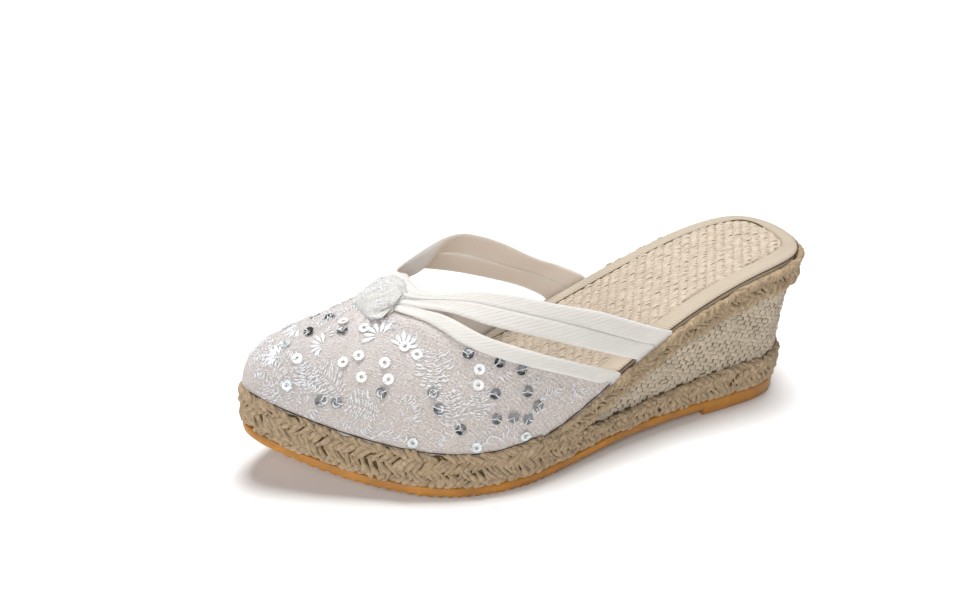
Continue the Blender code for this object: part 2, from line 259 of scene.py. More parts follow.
# Sequins sewn among the motifs
Sequin = namedtuple("Sequin", "share arc")
PEARL_SEQUINS = (
    Sequin(0.814, 0.79),
    Sequin(0.838, 0.60),
    Sequin(0.862, 0.56),
    Sequin(0.806, 0.53),
    Sequin(0.843, 0.45),
    Sequin(0.808, 0.43),
    Sequin(0.772, 0.60),
    Sequin(0.760, 0.54),
    Sequin(0.922, 0.63),
    Sequin(0.681, 0.37),
    Sequin(0.687, 0.31),
    Sequin(0.836, 0.90),
    Sequin(0.866, 1.12),
    Sequin(0.830, 1.24),
    Sequin(0.812, 1.44),
    Sequin(0.838, 1.50),
    Sequin(0.776, 1.42),
    Sequin(0.910, 1.18),
    Sequin(0.770, 1.58),
    Sequin(0.730, 1.70),
)
SILVER_SEQUINS = (
    Sequin(0.905, 0.24),
    Sequin(0.884, 0.25),
    Sequin(0.822, 0.35),
    Sequin(0.753, 0.33),
    Sequin(0.749, 0.25),
    Sequin(0.692, 0.45),
    Sequin(0.650, 0.36),
    Sequin(0.618, 0.29),
    Sequin(0.612, 0.20),
    Sequin(0.665, 0.25),
    Sequin(0.597, 0.13),
    Sequin(0.667, 0.15),
    Sequin(0.640, 0.13),
    Sequin(0.616, 0.10),
    Sequin(0.722, 0.14),
    Sequin(0.850, 1.00),
    Sequin(0.845, 0.82),
    Sequin(0.890, 0.90),
    Sequin(0.900, 1.45),
    Sequin(0.870, 1.66),
    Sequin(0.780, 1.62),
    Sequin(0.770, 1.80),
    Sequin(0.660, 1.80),
    Sequin(0.690, 1.80),
    Sequin(0.600, 1.88),
)
CLEAR_SEQUINS = (
    Sequin(0.621, 0.04),
    Sequin(0.700, 0.05),
    Sequin(0.790, 0.07),
    Sequin(0.945, 0.35),
    Sequin(0.930, 0.85),
    Sequin(0.690, 1.92),
)

# The photograph's camera
CAMERA_PLACE = (392.8, -219.1, 269.0)
CAMERA_TARGET = (-1.84, -27.4, 57.6)
CAMERA_LENS = 46.49
CAMERA_SENSOR = 36.0


def linear(red, green, blue):
    """Linear colour of a screen colour given from 0 to 255."""
    shares = (red / 255, green / 255, blue / 255)
    return tuple(s / 12.92 if s <= 0.04045 else ((s + 0.055) / 1.055) ** 2.4 for s in shares)


def size(name, description, millimetres):
    """Length property with its default in millimetres."""
    return bpy.props.FloatProperty(
        name=name,
        description=description,
        default=millimetres * MM,
        min=0.0,
        unit="LENGTH",
        subtype="DISTANCE",
        precision=5,
    )


def colour(name, description, red, green, blue):
    """Colour property with its default as a screen colour."""
    return bpy.props.FloatVectorProperty(
        name=name,
        description=description,
        default=linear(red, green, blue),
        min=0.0,
        max=1.0,
        size=3,
        subtype="COLOR",
    )


class MuleSizes(bpy.types.PropertyGroup):
    """Sizes of the shoe's weaves, plaits, threads and sequins."""

    tread_pitch: size("Tread pitch", "Distance between the grooves under the forefoot", 3.6)
    tread_depth: size("Tread depth", "Depth of the grooves under the forefoot", 1.3)
    plait_pitch: size("Lower plait pitch", "Length of one chevron of the lower plait", 3.5)
    top_plait_pitch: size("Upper plait pitch", "Length of one chevron of the upper plait", 3.4)
    float_length: size("Cloth float length", "Length of one float of the wedge's cloth", 4.3)
    float_width: size("Cloth float width", "Width of one float of the wedge's cloth", 1.85)
    straw_cell: size("Straw cell", "Length of one float of the footbed's weave", 4.5)
    binding_width: size("Binding width", "Width of the footbed's twill binding", 8.3)
    tape_thickness: size("Tape thickness", "Thickness of the cotton tapes", 1.2)
    thread_width: size("Thread width", "Width of the embroidery threads", 0.46)
    sequin_diameter: size("Sequin diameter", "Outside diameter of the sequins", 4.2)


class MuleColours(bpy.types.PropertyGroup):
    """Colours of the shoe's finishes."""

    rubber: colour("Rubber", "Amber gum rubber of the outsole", 176, 117, 27)
    jute: colour("Jute", "Strands of the plaits", 181, 158, 128)
    # Painted shade: this dark colour stands for the shade deep between the strands and in the gaps along the
    # seams.
    jute_shade: colour("Jute shade", "Depths between the strands", 92, 74, 52)
    cloth: colour("Cloth", "Light floats of the wedge's cloth", 203, 188, 167)
    # Painted shade: the ground between the floats is given the darkness the gaps show in shade.
    cloth_gap_shade: colour("Cloth gap", "Ground between the cloth's floats", 136, 119, 97)
    straw: colour("Straw", "Straws of the footbed", 207, 191, 172)
    straw_gap: colour("Straw gap", "Ground between the straws", 172, 150, 124)
    binding: colour("Binding", "Twill binding of the footbed", 198, 184, 165)
    lace: colour("Lace", "Sheer lace over its lining", 203, 196, 193)
    # The lace shade also paints the shade that darkens the lace towards the sole.
    lace_shade: colour("Lace shade", "Lace where the lining shows through", 208, 191, 176)
    lining: colour("Lining", "Lining inside the vamp", 235, 228, 222)
    thread: colour("Thread", "Embroidery threads", 238, 239, 242)
    pearl: colour("Pearl", "White sequins", 254, 254, 253)
    # Painted reflection: darker than bare silver, for the dark surroundings the mirror sequins reflect.
    silver: colour("Silver", "Mirror sequins", 121, 124, 127)
    clear: colour("Clear", "Clear sequins", 214, 222, 222)
    tape: colour("Tape", "Cotton tapes", 217, 214, 209)
    tape_back: colour("Tape back", "Undersides of the tapes", 224, 213, 204)


class Spline:
    """Natural cubic spline through a table's columns."""

    def __init__(self, knots, values):
        self.knots = np.asarray(knots, float)
        self.values = np.asarray(values, float)
        step = np.diff(self.knots)
        slope = np.diff(self.values) / step
        system = np.eye(len(self.knots))
        bend = np.zeros(len(self.knots))
        for i in range(1, len(self.knots) - 1):
            system[i, i - 1 : i + 2] = step[i - 1], 2 * (step[i - 1] + step[i]), step[i]
            bend[i] = 6 * (slope[i] - slope[i - 1])
        self.bend = np.linalg.solve(system, bend)

    def __call__(self, where):
        where = np.asarray(where, float)
        i = np.clip(np.searchsorted(self.knots, where) - 1, 0, len(self.knots) - 2)
        step = self.knots[i + 1] - self.knots[i]
        before = (self.knots[i + 1] - where) / step
        after = 1 - before
        curve = (before**3 - before) * self.bend[i] + (after**3 - after) * self.bend[i + 1]
        return before * self.values[i] + after * self.values[i + 1] + curve * step**2 / 6


def turn_of(share):
    """Angle round the sole, from 0 at the heel's back to pi at the toe, for a share of the length."""
    return np.arccos(1 - 2 * np.clip(share, 0, 1))


def share_of(turn):
    """Share of the length at an angle round the sole."""
    return (1 - np.cos(turn)) / 2


def table_spline(rows, column, turned=False):
    """Spline through a table's column, by share or by its angle."""
    shares = np.array([row[0] for row in rows])
    values = [getattr(row, column) for row in rows]
    return Spline(turn_of(shares) if turned else shares, values)


def whole_outline():
    """Distance from the heel's centre line by the angle round the sole: outer side, then inner side."""
    ahead = [float(turn_of(row.share)) for row in OUTLINE]
    back = [FULL_TURN - turn for turn in ahead[-2::-1]]
    lateral = [row.lateral for row in OUTLINE]
    medial = [-row.medial for row in OUTLINE[-2::-1]]
    return Spline(ahead + back, lateral + medial)


RIM_TURNS = np.linspace(0, FULL_TURN, 4321)
SIDE = whole_outline()
SIDE_REACH = SIDE(RIM_TURNS)
CENTRE_SHIFT = -(SIDE_REACH.max() + SIDE_REACH.min()) / 2
EDGE = table_spline(FOOTBED_EDGE, "height")
SEAM = table_spline(BRAID_SEAM, "height")
TUCK = Spline([row.level for row in HEEL_TUCK], [row.depth for row in HEEL_TUCK])
RIDGE = table_spline(CROWN, "ridge")
CROWN_HEIGHT = table_spline(CROWN, "height", turned=True)


def floor_line(share):
    """Underside of the rubber: flat heel lift, raised waist, flat forefoot and toe spring."""
    fall_start, fall_end = WAIST_FALL
    waist = (HEEL_RUBBER - SOLE_RUBBER) * np.clip((fall_end - share) / (fall_end - fall_start), 0, 1)
    spring = TOE_SPRING * np.clip((share - SPRING_START) / (1 - SPRING_START), 0, 1) ** 2
    return np.where(share < (LIFT_END + WAIST_START) / 2, 0, waist + spring)


def rubber_top(share):
    """Top of the rubber."""
    return np.where(share < (LIFT_END + WAIST_START) / 2, HEEL_RUBBER, floor_line(share) + SOLE_RUBBER)


def lower_braid_base(share):
    """Lower edge of the lower plait."""
    return rubber_top(share) + GAP


def lower_braid_top(share):
    """Upper edge of the lower plait where it doesn't lap over the vamp."""
    return np.minimum(SEAM(share), EDGE(share))


def upper_braid_base(share):
    """Lower edge of the upper plait."""
    return np.maximum(EDGE(share) - UPPER_BRAID_HEIGHT, lower_braid_top(share) + GAP)


def outline_at(turn, tuck):
    """Points on the sole's outline, whose heel is tucked forward."""
    share = share_of(turn)
    across = SIDE(np.mod(turn, FULL_TURN)) + CENTRE_SHIFT
    along = LENGTH / 2 - tuck - (LENGTH - tuck) * share
    return np.stack([across, along], axis=-1)


def place(turn, inset, height):
    """Points on the sole's side at a height, moved in from its outline by an inset."""
    turn, inset, height = np.broadcast_arrays(*(np.asarray(v, float) for v in (turn, inset, height)))
    tuck = TUCK(np.clip(height / EDGE(share_of(turn)), 0, 1))
    ahead = outline_at(turn + SMALL_TURN, tuck) - outline_at(turn - SMALL_TURN, tuck)
    outward = np.stack([-ahead[..., 1], ahead[..., 0]], axis=-1)
    outward /= np.linalg.norm(outward, axis=-1, keepdims=True)
    plan = outline_at(turn, tuck) - inset[..., None] * outward
    return np.concatenate([plan, height[..., None]], axis=-1)


def foot_form(share, arc, grow):
    """Points on the foot's form. Arc runs from 0 at the outer edge through 1 at the ridge to 2 at the inner
    edge, and grow moves the surface outwards."""
    share, arc, grow = np.broadcast_arrays(*(np.asarray(v, float) for v in (share, arc, grow)))
    turn = turn_of(share)
    edge = EDGE(share) + GAP
    outer = place(turn, VAMP_INSET - grow, EDGE(share))
    inner = place(FULL_TURN - turn, VAMP_INSET - grow, EDGE(share))
    width = outer[..., 0] - inner[..., 0]
    margin = RIDGE_MARGIN * width
    ridge = np.clip(RIDGE(share), inner[..., 0] + margin, outer[..., 0] - margin)
    crown = CROWN_HEIGHT(turn) + grow * np.minimum(1, (1 - share) / TOE_BLEND)
    swing = arc * math.pi / 2
    run, lift = np.cos(swing), np.abs(np.sin(swing))
    power = 2 / np.where(run > 0, LATERAL_FULLNESS, MEDIAL_FULLNESS)
    reach = np.where(run > 0, outer[..., 0] - ridge, ridge - inner[..., 0])
    x = ridge + np.sign(run) * reach * np.abs(run) ** power
    blend = (x - inner[..., 0]) / np.maximum(width, TINY)
    y = inner[..., 1] + blend * (outer[..., 1] - inner[..., 1])
    return np.stack([x, y, edge + crown * lift**power], axis=-1)


def tape_share(column, arc):
    """Place along the shoe of a tape's edge or of the throat, for an arc across the foot's form."""
    outer = table_spline(OUTER_TAPES, column)(np.minimum(arc, 1))
    inner = table_spline(INNER_TAPES, column)(np.minimum(2 - arc, 1))
    return np.where(arc > 1, inner, outer)


RIM_STEPS = np.linalg.norm(np.diff(outline_at(RIM_TURNS, 0.0), axis=0), axis=1)
RIM_RUNS = np.concatenate([[0.0], np.cumsum(RIM_STEPS)])
RIM_LENGTH = RIM_RUNS[-1]


def rim_turn(run):
    """Angle round the sole at a distance along its rim from the heel's back, outer side first."""
    return np.interp(np.mod(run, RIM_LENGTH), RIM_RUNS, RIM_TURNS)


def unit(vectors):
    """Vectors of length one in the same directions."""
    return vectors / np.maximum(np.linalg.norm(vectors, axis=-1, keepdims=True), TINY)


def smooth_step(value):
    """Soft rise from 0 to 1 as a value runs from 0 to 1."""
    value = np.clip(value, 0, 1)
    return value * value * (3 - 2 * value)


def quads(*corners):
    """Faces from four arrays of corner numbers."""
    return np.stack(corners, axis=-1).reshape(-1, 4)


def grid_faces(rows, columns, wrap=False, close=False):
    """Faces of a grid of points stored row by row. Wrap joins its last column to its first, and close its
    last row to its first."""
    row_range = np.arange(rows if close else rows - 1)
    column_range = np.arange(columns if wrap else columns - 1)
    row, column = np.meshgrid(row_range, column_range, indexing="ij")
    here, below = row * columns, (row + 1) % rows * columns
    beside = (column + 1) % columns
    return quads(here + column, here + beside, below + beside, below + column)


def ladder_faces(count, first):
    """Faces across a ring of points whose first half mirrors its second half."""
    rung = np.arange(count // 2 - 1)
    return first + quads(rung, rung + 1, count - 2 - rung, count - 1 - rung)


def repeat_faces(faces, copies, points_each):
    """Faces of many copies of a mesh whose points follow one another."""
    return (faces[None] + (np.arange(copies) * points_each)[:, None, None]).reshape(-1, 4)


Part = namedtuple("Part", "points faces uv finish")

# Distance between the coordinates of one strand and the next, so that no two look alike
STRAND_STAGGER = 17.0

# Range over which the coordinates of floats and straws are scattered for the same reason
UV_SCATTER = 60


def sheet_part(points, uv, finish, flip=False):
    """Part made of many grids of points, in an array of copies, rows and columns."""
    copies, rows, columns = points.shape[:3]
    faces = repeat_faces(grid_faces(rows, columns), copies, rows * columns)
    if flip:
        faces = faces[:, ::-1]
    uv = np.broadcast_to(uv, points.shape[:3] + (2,))
    return Part(points.reshape(-1, 3), faces, uv.reshape(-1, 2), finish)


def ring_part(rings, uv, finish, flip=False):
    """Closed part lofted through rings whose first halves mirror their second halves."""
    rows, columns = rings.shape[:2]
    sides = grid_faces(rows, columns, wrap=True)
    first_cap = ladder_faces(columns, 0)[:, ::-1]
    last_cap = ladder_faces(columns, (rows - 1) * columns)
    faces = np.concatenate([sides, first_cap, last_cap])
    if flip:
        faces = faces[:, ::-1]
    return Part(rings.reshape(-1, 3), faces, uv.reshape(-1, 2), finish)


def strand_part(paths, normals, half_width, half_height, finish, sides):
    """Part made of oval strands along an array of paths."""
    copies, steps = paths.shape[:2]
    tangent = unit(np.gradient(paths, axis=1))
    side = unit(np.cross(tangent, normals))
    outward = np.cross(side, tangent)
    angle = math.pi + FULL_TURN * np.arange(sides) / sides
    width = np.broadcast_to(half_width, (copies, steps))[..., None] * np.sin(angle)
    height = np.broadcast_to(half_height, (copies, steps))[..., None] * np.cos(angle)
    points = paths[:, :, None] + width[..., None] * side[:, :, None] + height[..., None] * outward[:, :, None]
    lengths = np.linalg.norm(np.diff(paths, axis=1), axis=-1)
    run = np.concatenate([np.zeros((copies, 1)), np.cumsum(lengths, axis=1)], axis=1)
    start = STRAND_STAGGER * np.arange(copies)[:, None]
    around = angle * float(np.mean(half_width))
    uv = np.stack(np.broadcast_arrays((run + start)[..., None], around), axis=-1)
    faces = repeat_faces(grid_faces(steps, sides, wrap=True), copies, steps * sides)
    return Part(points.reshape(-1, 3), faces, uv.reshape(-1, 2), finish)


def piece_mesh(name, parts):
    """One smooth mesh of several parts, each in its own finish."""
    finishes = []
    for part in parts:
        if part.finish not in finishes:
            finishes.append(part.finish)
    starts = np.cumsum([0] + [len(part.points) for part in parts[:-1]])
    points = np.concatenate([part.points for part in parts]) * MM
    faces = np.concatenate([part.faces + start for part, start in zip(parts, starts)])
    uv = np.concatenate([part.uv for part in parts])
    wears = np.concatenate([np.full(len(part.faces), finishes.index(part.finish)) for part in parts])
    mesh = bpy.data.meshes.new(name)
    mesh.from_pydata(points.tolist(), [], faces.tolist())
    layer = mesh.uv_layers.new(name="cloth")
    layer.data.foreach_set("uv", uv[faces.ravel()].astype(np.float32).ravel())
    for finish in finishes:
        mesh.materials.append(finish)
    mesh.polygons.foreach_set("material_index", wears.astype(np.int32))
    mesh.polygons.foreach_set("use_smooth", np.ones(len(faces), bool))
    mesh.update()
    return mesh


def add_piece(name, parts, stands_for=()):
    """Mesh piece that rides the shoe, wears its parts' finishes and stands for the CAD nodes named."""
    for part in parts:
        if not len(part.faces) or not np.isfinite(part.points).all():
            raise RuntimeError(f"{name} has a part with no faces or a point out of place")
    piece = bpy.data.objects.new(name, piece_mesh(name, parts))
    bpy.context.scene.collection.objects.link(piece)
    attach(piece, "root")
    if stands_for:
        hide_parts(*stands_for)
    return piece


BLACK = (0.0, 0.0, 0.0)
WHITE = (1.0, 1.0, 1.0)


def tinted(base, factor):
    """Colour made darker or lighter by a factor."""
    return tuple(min(1.0, channel * factor) for channel in base)


class FinishMaker:
    """Builds a procedural material from noises, bands, ramps and bumps round one Principled shader."""

    def __init__(self, name, sockets):
        self.material = bpy.data.materials.new(name)
        self.material.use_nodes = True
        self.nodes = self.material.node_tree.nodes
        self.links = self.material.node_tree.links
        self.shader = self.nodes["Principled BSDF"]
        for socket, value in sockets.items():
            self.shader.inputs[socket].default_value = value
        self.relief = None

    def coordinates(self, kind, scale=(1.0, 1.0, 1.0), turn=0.0):
        """Texture coordinates, UV in millimetres or Object in metres, stretched and turned."""
        source = self.nodes.new("ShaderNodeTexCoord")
        mapping = self.nodes.new("ShaderNodeMapping")
        mapping.inputs["Scale"].default_value = scale
        mapping.inputs["Rotation"].default_value = (0, 0, turn)
        self.links.new(source.outputs[kind], mapping.inputs["Vector"])
        return mapping.outputs["Vector"]

    def on_surface(self, along, across, turn=0.0):
        """Millimetres along and across the surface, multiplied by a factor each and turned."""
        return self.coordinates("UV", (along, across, 1.0), turn)

    def in_space(self):
        """Millimetres in the shoe's own space."""
        return self.coordinates("Object", (1 / MM, 1 / MM, 1 / MM))

    def noise(self, vector, scale=1.0, detail=3.0, rough=0.6):
        """Soft cloudy amount from 0 to 1."""
        node = self.nodes.new("ShaderNodeTexNoise")
        node.inputs["Scale"].default_value = scale
        node.inputs["Detail"].default_value = detail
        node.inputs["Roughness"].default_value = rough
        self.links.new(vector, node.inputs["Vector"])
        return node.outputs["Fac"]

    def bands(self, vector, scale, distortion=0.0):
        """Amount that rises and falls in bands along the first axis."""
        node = self.nodes.new("ShaderNodeTexWave")
        node.wave_type = "BANDS"
        node.bands_direction = "X"
        node.inputs["Scale"].default_value = scale
        node.inputs["Distortion"].default_value = distortion
        node.inputs["Detail"].default_value = 1.0
        self.links.new(vector, node.inputs["Vector"])
        return node.outputs["Fac"]

    def cells(self, vector, scale):
        """Distance from the edges of small cells, as in a net."""
        node = self.nodes.new("ShaderNodeTexVoronoi")
        node.feature = "DISTANCE_TO_EDGE"
        node.inputs["Scale"].default_value = scale
        self.links.new(vector, node.inputs["Vector"])
        return node.outputs["Distance"]

    def gradient(self, vector):
        """Amount that rises from 0 to 1 along the first axis."""
        node = self.nodes.new("ShaderNodeTexGradient")
        self.links.new(vector, node.inputs["Vector"])
        return node.outputs["Fac"]

    def shades(self, amount, low, high, low_at=0.3, high_at=0.7):
        """Colour that runs from one shade to another as an amount rises."""
        node = self.nodes.new("ShaderNodeValToRGB")
        first, last = node.color_ramp.elements
        first.position, last.position = low_at, high_at
        first.color, last.color = (*low, 1.0), (*high, 1.0)
        self.links.new(amount, node.inputs["Fac"])
        return node.outputs["Color"]

    def tones(self, amount, base, low, high, low_at=0.3, high_at=0.7):
        """Colour that runs between two tints of one base colour as an amount rises."""
        return self.shades(amount, tinted(base, low), tinted(base, high), low_at, high_at)

    def blended(self, amount, first, second):
        """Colour between two others, by a number or by an amount that varies."""
        node = self.nodes.new("ShaderNodeMix")
        node.data_type = "RGBA"
        for socket, source in (("Factor", amount), ("A", first), ("B", second)):
            target = next(i for i in node.inputs if i.name == socket and i.enabled)
            if isinstance(source, float):
                target.default_value = source
            else:
                self.links.new(source, target)
        return next(o for o in node.outputs if o.enabled)

    def streaked(self, amount, dark, light, dark_at, light_at):
        """Dark colour where an amount is low and light colour where it is high."""
        return self.blended(self.shades(amount, BLACK, WHITE, dark_at, light_at), dark, light)

    def paint(self, colour_output):
        """Gives the shader its colour."""
        self.links.new(colour_output, self.shader.inputs["Base Color"])

    def roughness(self, amount, low, high):
        """Gives the shader a roughness that varies between two values."""
        node = self.nodes.new("ShaderNodeMapRange")
        node.inputs["To Min"].default_value = low
        node.inputs["To Max"].default_value = high
        self.links.new(amount, node.inputs["Value"])
        self.links.new(node.outputs["Result"], self.shader.inputs["Roughness"])

    def bump(self, height, strength, depth):
        """Adds a relief whose depth is in millimetres to those before it."""
        node = self.nodes.new("ShaderNodeBump")
        node.inputs["Strength"].default_value = strength
        node.inputs["Distance"].default_value = depth * MM
        self.links.new(height, node.inputs["Height"])
        if self.relief:
            self.links.new(self.relief, node.inputs["Normal"])
        self.relief = node.outputs["Normal"]
        self.links.new(self.relief, self.shader.inputs["Normal"])


# Length of the vamp's cross-section from the sole to its top
ARC_SPAN = 48.0

# Wave textures run through one band in this share of a unit
BAND_SCALE = math.pi / 10

# Distance between the fine threads that slant over the lace
HAIR_PITCH = 0.95

# Shader sockets that several finishes share: light that leaks through thin cloth, matt yarn, and the depths
# painted in shade
THIN_CLOTH = {"Subsurface Weight": 0.8, "Subsurface Radius": (1.0, 0.97, 0.92), "Subsurface Scale": 0.003}
MATT_YARN = {"Roughness": 0.9, "Sheen Weight": 0.1, "Specular IOR Level": 0.2}
DEPTHS = {"Roughness": 0.95, "Specular IOR Level": 0.1}


def gum_rubber(colours):
    """Satin amber rubber that light enters, clouded and finely specked."""
    sockets = {
        "Roughness": 0.42,
        "Subsurface Weight": 0.4,
        "Subsurface Radius": (1.0, 0.5, 0.15),
        "Subsurface Scale": 0.003,
        "Coat Weight": 0.15,
    }
    maker = FinishMaker("gum_rubber", sockets)
    grain = maker.in_space()
    clouds = maker.noise(grain, scale=0.09, detail=4)
    maker.paint(maker.tones(clouds, colours.rubber, 0.72, 1.12))
    specks = maker.noise(grain, scale=1.8, detail=4)
    maker.roughness(specks, 0.32, 0.62)
    maker.bump(specks, strength=0.35, depth=0.25)
    return maker.material


def jute_strand(colours):
    """Jute yarn with fibres along it, in tones that change from strand to strand."""
    maker = FinishMaker("jute_strand", MATT_YARN)
    fibres = maker.noise(maker.on_surface(0.5, 3.2), detail=4, rough=0.7)
    tone = maker.noise(maker.on_surface(0.9, 0.05), scale=0.7, detail=2)
    light = maker.tones(tone, colours.jute, 0.82, 1.18, 0.32, 0.68)
    dark = maker.tones(tone, colours.jute, 0.42, 0.66, 0.32, 0.68)
    maker.paint(maker.streaked(fibres, dark, light, 0.34, 0.52))
    maker.bump(fibres, strength=0.9, depth=0.5)
    return maker.material


def painted_jute_shade(colours):
    """Painted shade: dark jute colour for the shade between the strands and in the gaps along the seam cords.
    """
    maker = FinishMaker("painted_jute_shade", DEPTHS)
    fibres = maker.noise(maker.on_surface(1.2, 3.0), detail=4)
    maker.paint(maker.tones(fibres, colours.jute_shade, 0.6, 1.2))
    maker.bump(fibres, strength=0.8, depth=0.6)
    return maker.material


def cloth_float(colours):
    """Floats of the wedge's cloth, of fine yarns side by side."""
    maker = FinishMaker("cloth_float", MATT_YARN)
    yarns = maker.noise(maker.on_surface(0.5, 4.2), rough=0.65)
    tone = maker.noise(maker.on_surface(0.07, 0.07), detail=1)
    light = maker.tones(tone, colours.cloth, 0.80, 1.10)
    dark = maker.tones(tone, colours.cloth, 0.58, 0.80)
    maker.paint(maker.streaked(yarns, dark, light, 0.36, 0.56))
    maker.bump(yarns, strength=0.8, depth=0.35)
    return maker.material


def cloth_ground_shade(colours):
    """Ground between the cloth's floats, painted dark as the shade that fills the gaps."""
    maker = FinishMaker("cloth_ground_shade", DEPTHS)
    yarns = maker.noise(maker.on_surface(2.2, 2.2), detail=4)
    maker.paint(maker.tones(yarns, colours.cloth_gap_shade, 0.55, 1.15))
    maker.bump(yarns, strength=0.8, depth=0.4)
    return maker.material


def straw(name, colours, tint):
    """Fibrous straws, made darker by a tint."""
    maker = FinishMaker(name, {"Roughness": 0.66, "Specular IOR Level": 0.25})
    fibres = maker.noise(maker.on_surface(0.5, 4.0))
    tone = maker.noise(maker.on_surface(0.3, 0.3), detail=2)
    light = maker.tones(tone, colours.straw, 0.86 * tint, 1.10 * tint, 0.35, 0.65)
    dark = maker.tones(tone, colours.straw, 0.62 * tint, 0.80 * tint, 0.35, 0.65)
    maker.paint(maker.streaked(fibres, dark, light, 0.34, 0.54))
    maker.bump(fibres, strength=0.7, depth=0.3)
    return maker.material


def straw_ground(colours):
    """Ground between the straws."""
    maker = FinishMaker("straw_ground", {"Roughness": 0.9, "Specular IOR Level": 0.15})
    fibres = maker.noise(maker.in_space(), scale=1.2, detail=4)
    maker.paint(maker.tones(fibres, colours.straw_gap, 0.7, 1.1))
    maker.bump(fibres, strength=0.6, depth=0.3)
    return maker.material


def twill(name, base, pitch, turn, dark, depth, sockets):
    """Twill cloth whose ribs cross its length at an angle."""
    maker = FinishMaker(name, {"Roughness": 0.85, "Sheen Weight": 0.1, "Specular IOR Level": 0.2, **sockets})
    ribs = maker.bands(maker.on_surface(1.0, 1.0, turn), BAND_SCALE / pitch, distortion=0.5)
    fibres = maker.noise(maker.on_surface(4.0, 4.0, turn))
    tone = maker.noise(maker.on_surface(0.06, 0.15), detail=2)
    body = maker.tones(tone, base, 0.96, 1.03)
    groove = maker.tones(fibres, base, dark * 0.95, dark * 1.04)
    maker.paint(maker.streaked(ribs, groove, body, 0.06, 0.5))
    maker.bump(ribs, strength=0.7, depth=depth)
    maker.bump(fibres, strength=0.4, depth=0.10)
    return maker.material


def sheer_lace(name, lace, shade):
    """Crinkled sheer net over the pale lining, darker towards the sole in painted shade with a slightly
    warmer tone there, with painted shade and highlight on its crinkles, and fine slanting threads.
    """
    sockets = {"Roughness": 0.6, "Sheen Weight": 0.1, "Specular IOR Level": 0.3, **THIN_CLOTH}
    maker = FinishMaker(name, sockets)
    space = maker.in_space()
    net = maker.cells(space, 1.0)
    crinkle = maker.noise(maker.on_surface(0.42, 1.5, 0.30), detail=6, rough=0.66)
    fuzz = maker.noise(maker.on_surface(1.1, 3.2, -0.5))
    hairs = maker.bands(maker.on_surface(1.0, 1.0, 0.95), BAND_SCALE / HAIR_PITCH, distortion=3.5)
    # Painted shade: the lace darkens towards the sole, with a slightly warmer tone there.
    climb = maker.gradient(maker.on_surface(1 / ARC_SPAN, 1 / ARC_SPAN, -math.pi / 2))
    mottled = maker.shades(maker.noise(space, scale=0.045), shade, lace, 0.42, 0.58)
    ground = maker.blended(0.5, mottled, maker.shades(climb, shade, lace, 0.05, 0.60))
    # Painted shade and highlight: the crinkles' tones follow their relief.
    creased = maker.blended(0.46, ground, maker.tones(crinkle, lace, 0.60, 1.34, 0.36, 0.66))
    flecked = maker.blended(0.54, creased, maker.tones(fuzz, lace, 0.36, 1.50, 0.38, 0.62))
    hairy = maker.blended(0.20, flecked, maker.tones(hairs, lace, 0.40, 1.0))
    maker.paint(maker.blended(0.18, hairy, maker.tones(net, lace, 1.4, 0.82, 0.02, 0.12)))
    maker.roughness(crinkle, 0.45, 0.75)
    maker.bump(crinkle, strength=0.6, depth=0.6)
    maker.bump(fuzz, strength=0.4, depth=0.25)
    maker.bump(net, strength=0.2, depth=0.1)
    return maker.material


def lining_cloth(colours):
    """Fine pale lining inside the vamp."""
    maker = FinishMaker("lining_cloth", {"Roughness": 0.7, "Specular IOR Level": 0.3, **THIN_CLOTH})
    space = maker.in_space()
    weave = maker.noise(space, scale=2.2)
    tone = maker.noise(space, scale=0.05, detail=2)
    mottled = maker.tones(tone, colours.lining, 0.93, 1.05)
    maker.paint(maker.blended(0.12, mottled, maker.shades(weave, tinted(colours.lining, 0.7), WHITE)))
    maker.bump(weave, strength=0.3, depth=0.15)
    return maker.material


def satin_thread(colours):
    """Glossy embroidery thread."""
    maker = FinishMaker("satin_thread", {"Roughness": 0.4, "Sheen Weight": 0.3, "Specular IOR Level": 0.6})
    fibres = maker.noise(maker.on_surface(0.8, 14.0), detail=2)
    maker.paint(maker.tones(fibres, colours.thread, 0.92, 1.0))
    maker.bump(fibres, strength=0.5, depth=0.06)
    return maker.material


def sequin_finish(name, base, metal, rough):
    """Coated film of a sequin, slightly uneven."""
    sockets = {"Metallic": metal, "Roughness": rough, "Coat Weight": 0.6, "Coat Roughness": 0.06}
    maker = FinishMaker(name, sockets)
    film = maker.noise(maker.in_space(), scale=0.55, detail=2)
    maker.paint(maker.tones(film, base, 0.7, 1.15))
    maker.roughness(film, rough * 0.7, rough * 1.5)
    maker.bump(film, strength=0.25, depth=0.2)
    return maker.material


def studio_floor():
    """Pale floor, faintly mottled."""
    maker = FinishMaker("studio_floor", {"Roughness": 0.7, "Specular IOR Level": 0.1})
    mottle = maker.noise(maker.coordinates("Object"), scale=3.0)
    maker.paint(maker.tones(mottle, WHITE, 0.90, 0.93))
    return maker.material


def half_ring(turns):
    """Angles on the outer side, and the same places on the inner side in the opposite order."""
    return np.concatenate([turns, FULL_TURN - turns[::-1]])


def even_ring(count):
    """Evenly spaced angles round the sole, with a count of them on each side."""
    return half_ring((np.arange(count) + 0.5) * math.pi / count)


# Stations along the outsole, where its grooves are and how they fade in and out, as shares of the length
TREAD_STATIONS = 620
TREAD_ENDS = (0.004, 0.996)
TREAD_ZONE = (0.45, 0.985)
TREAD_FADES = (0.03, 0.02)
END_TURNS = np.linspace(0.01, 0.12, 8)
SHALLOWEST_GROOVE = 0.25
GROOVE_STEEPNESS = 3.0
NOTCH_TAPER = 2.2

# Section of the outsole's side: inset from the sole's outline and share of the rubber's height
RUBBER_PROFILE = ((1.0, 1.0), (0.45, 0.86), (0.4, 0.5), (0.75, 0.16), (1.7, 0.0))


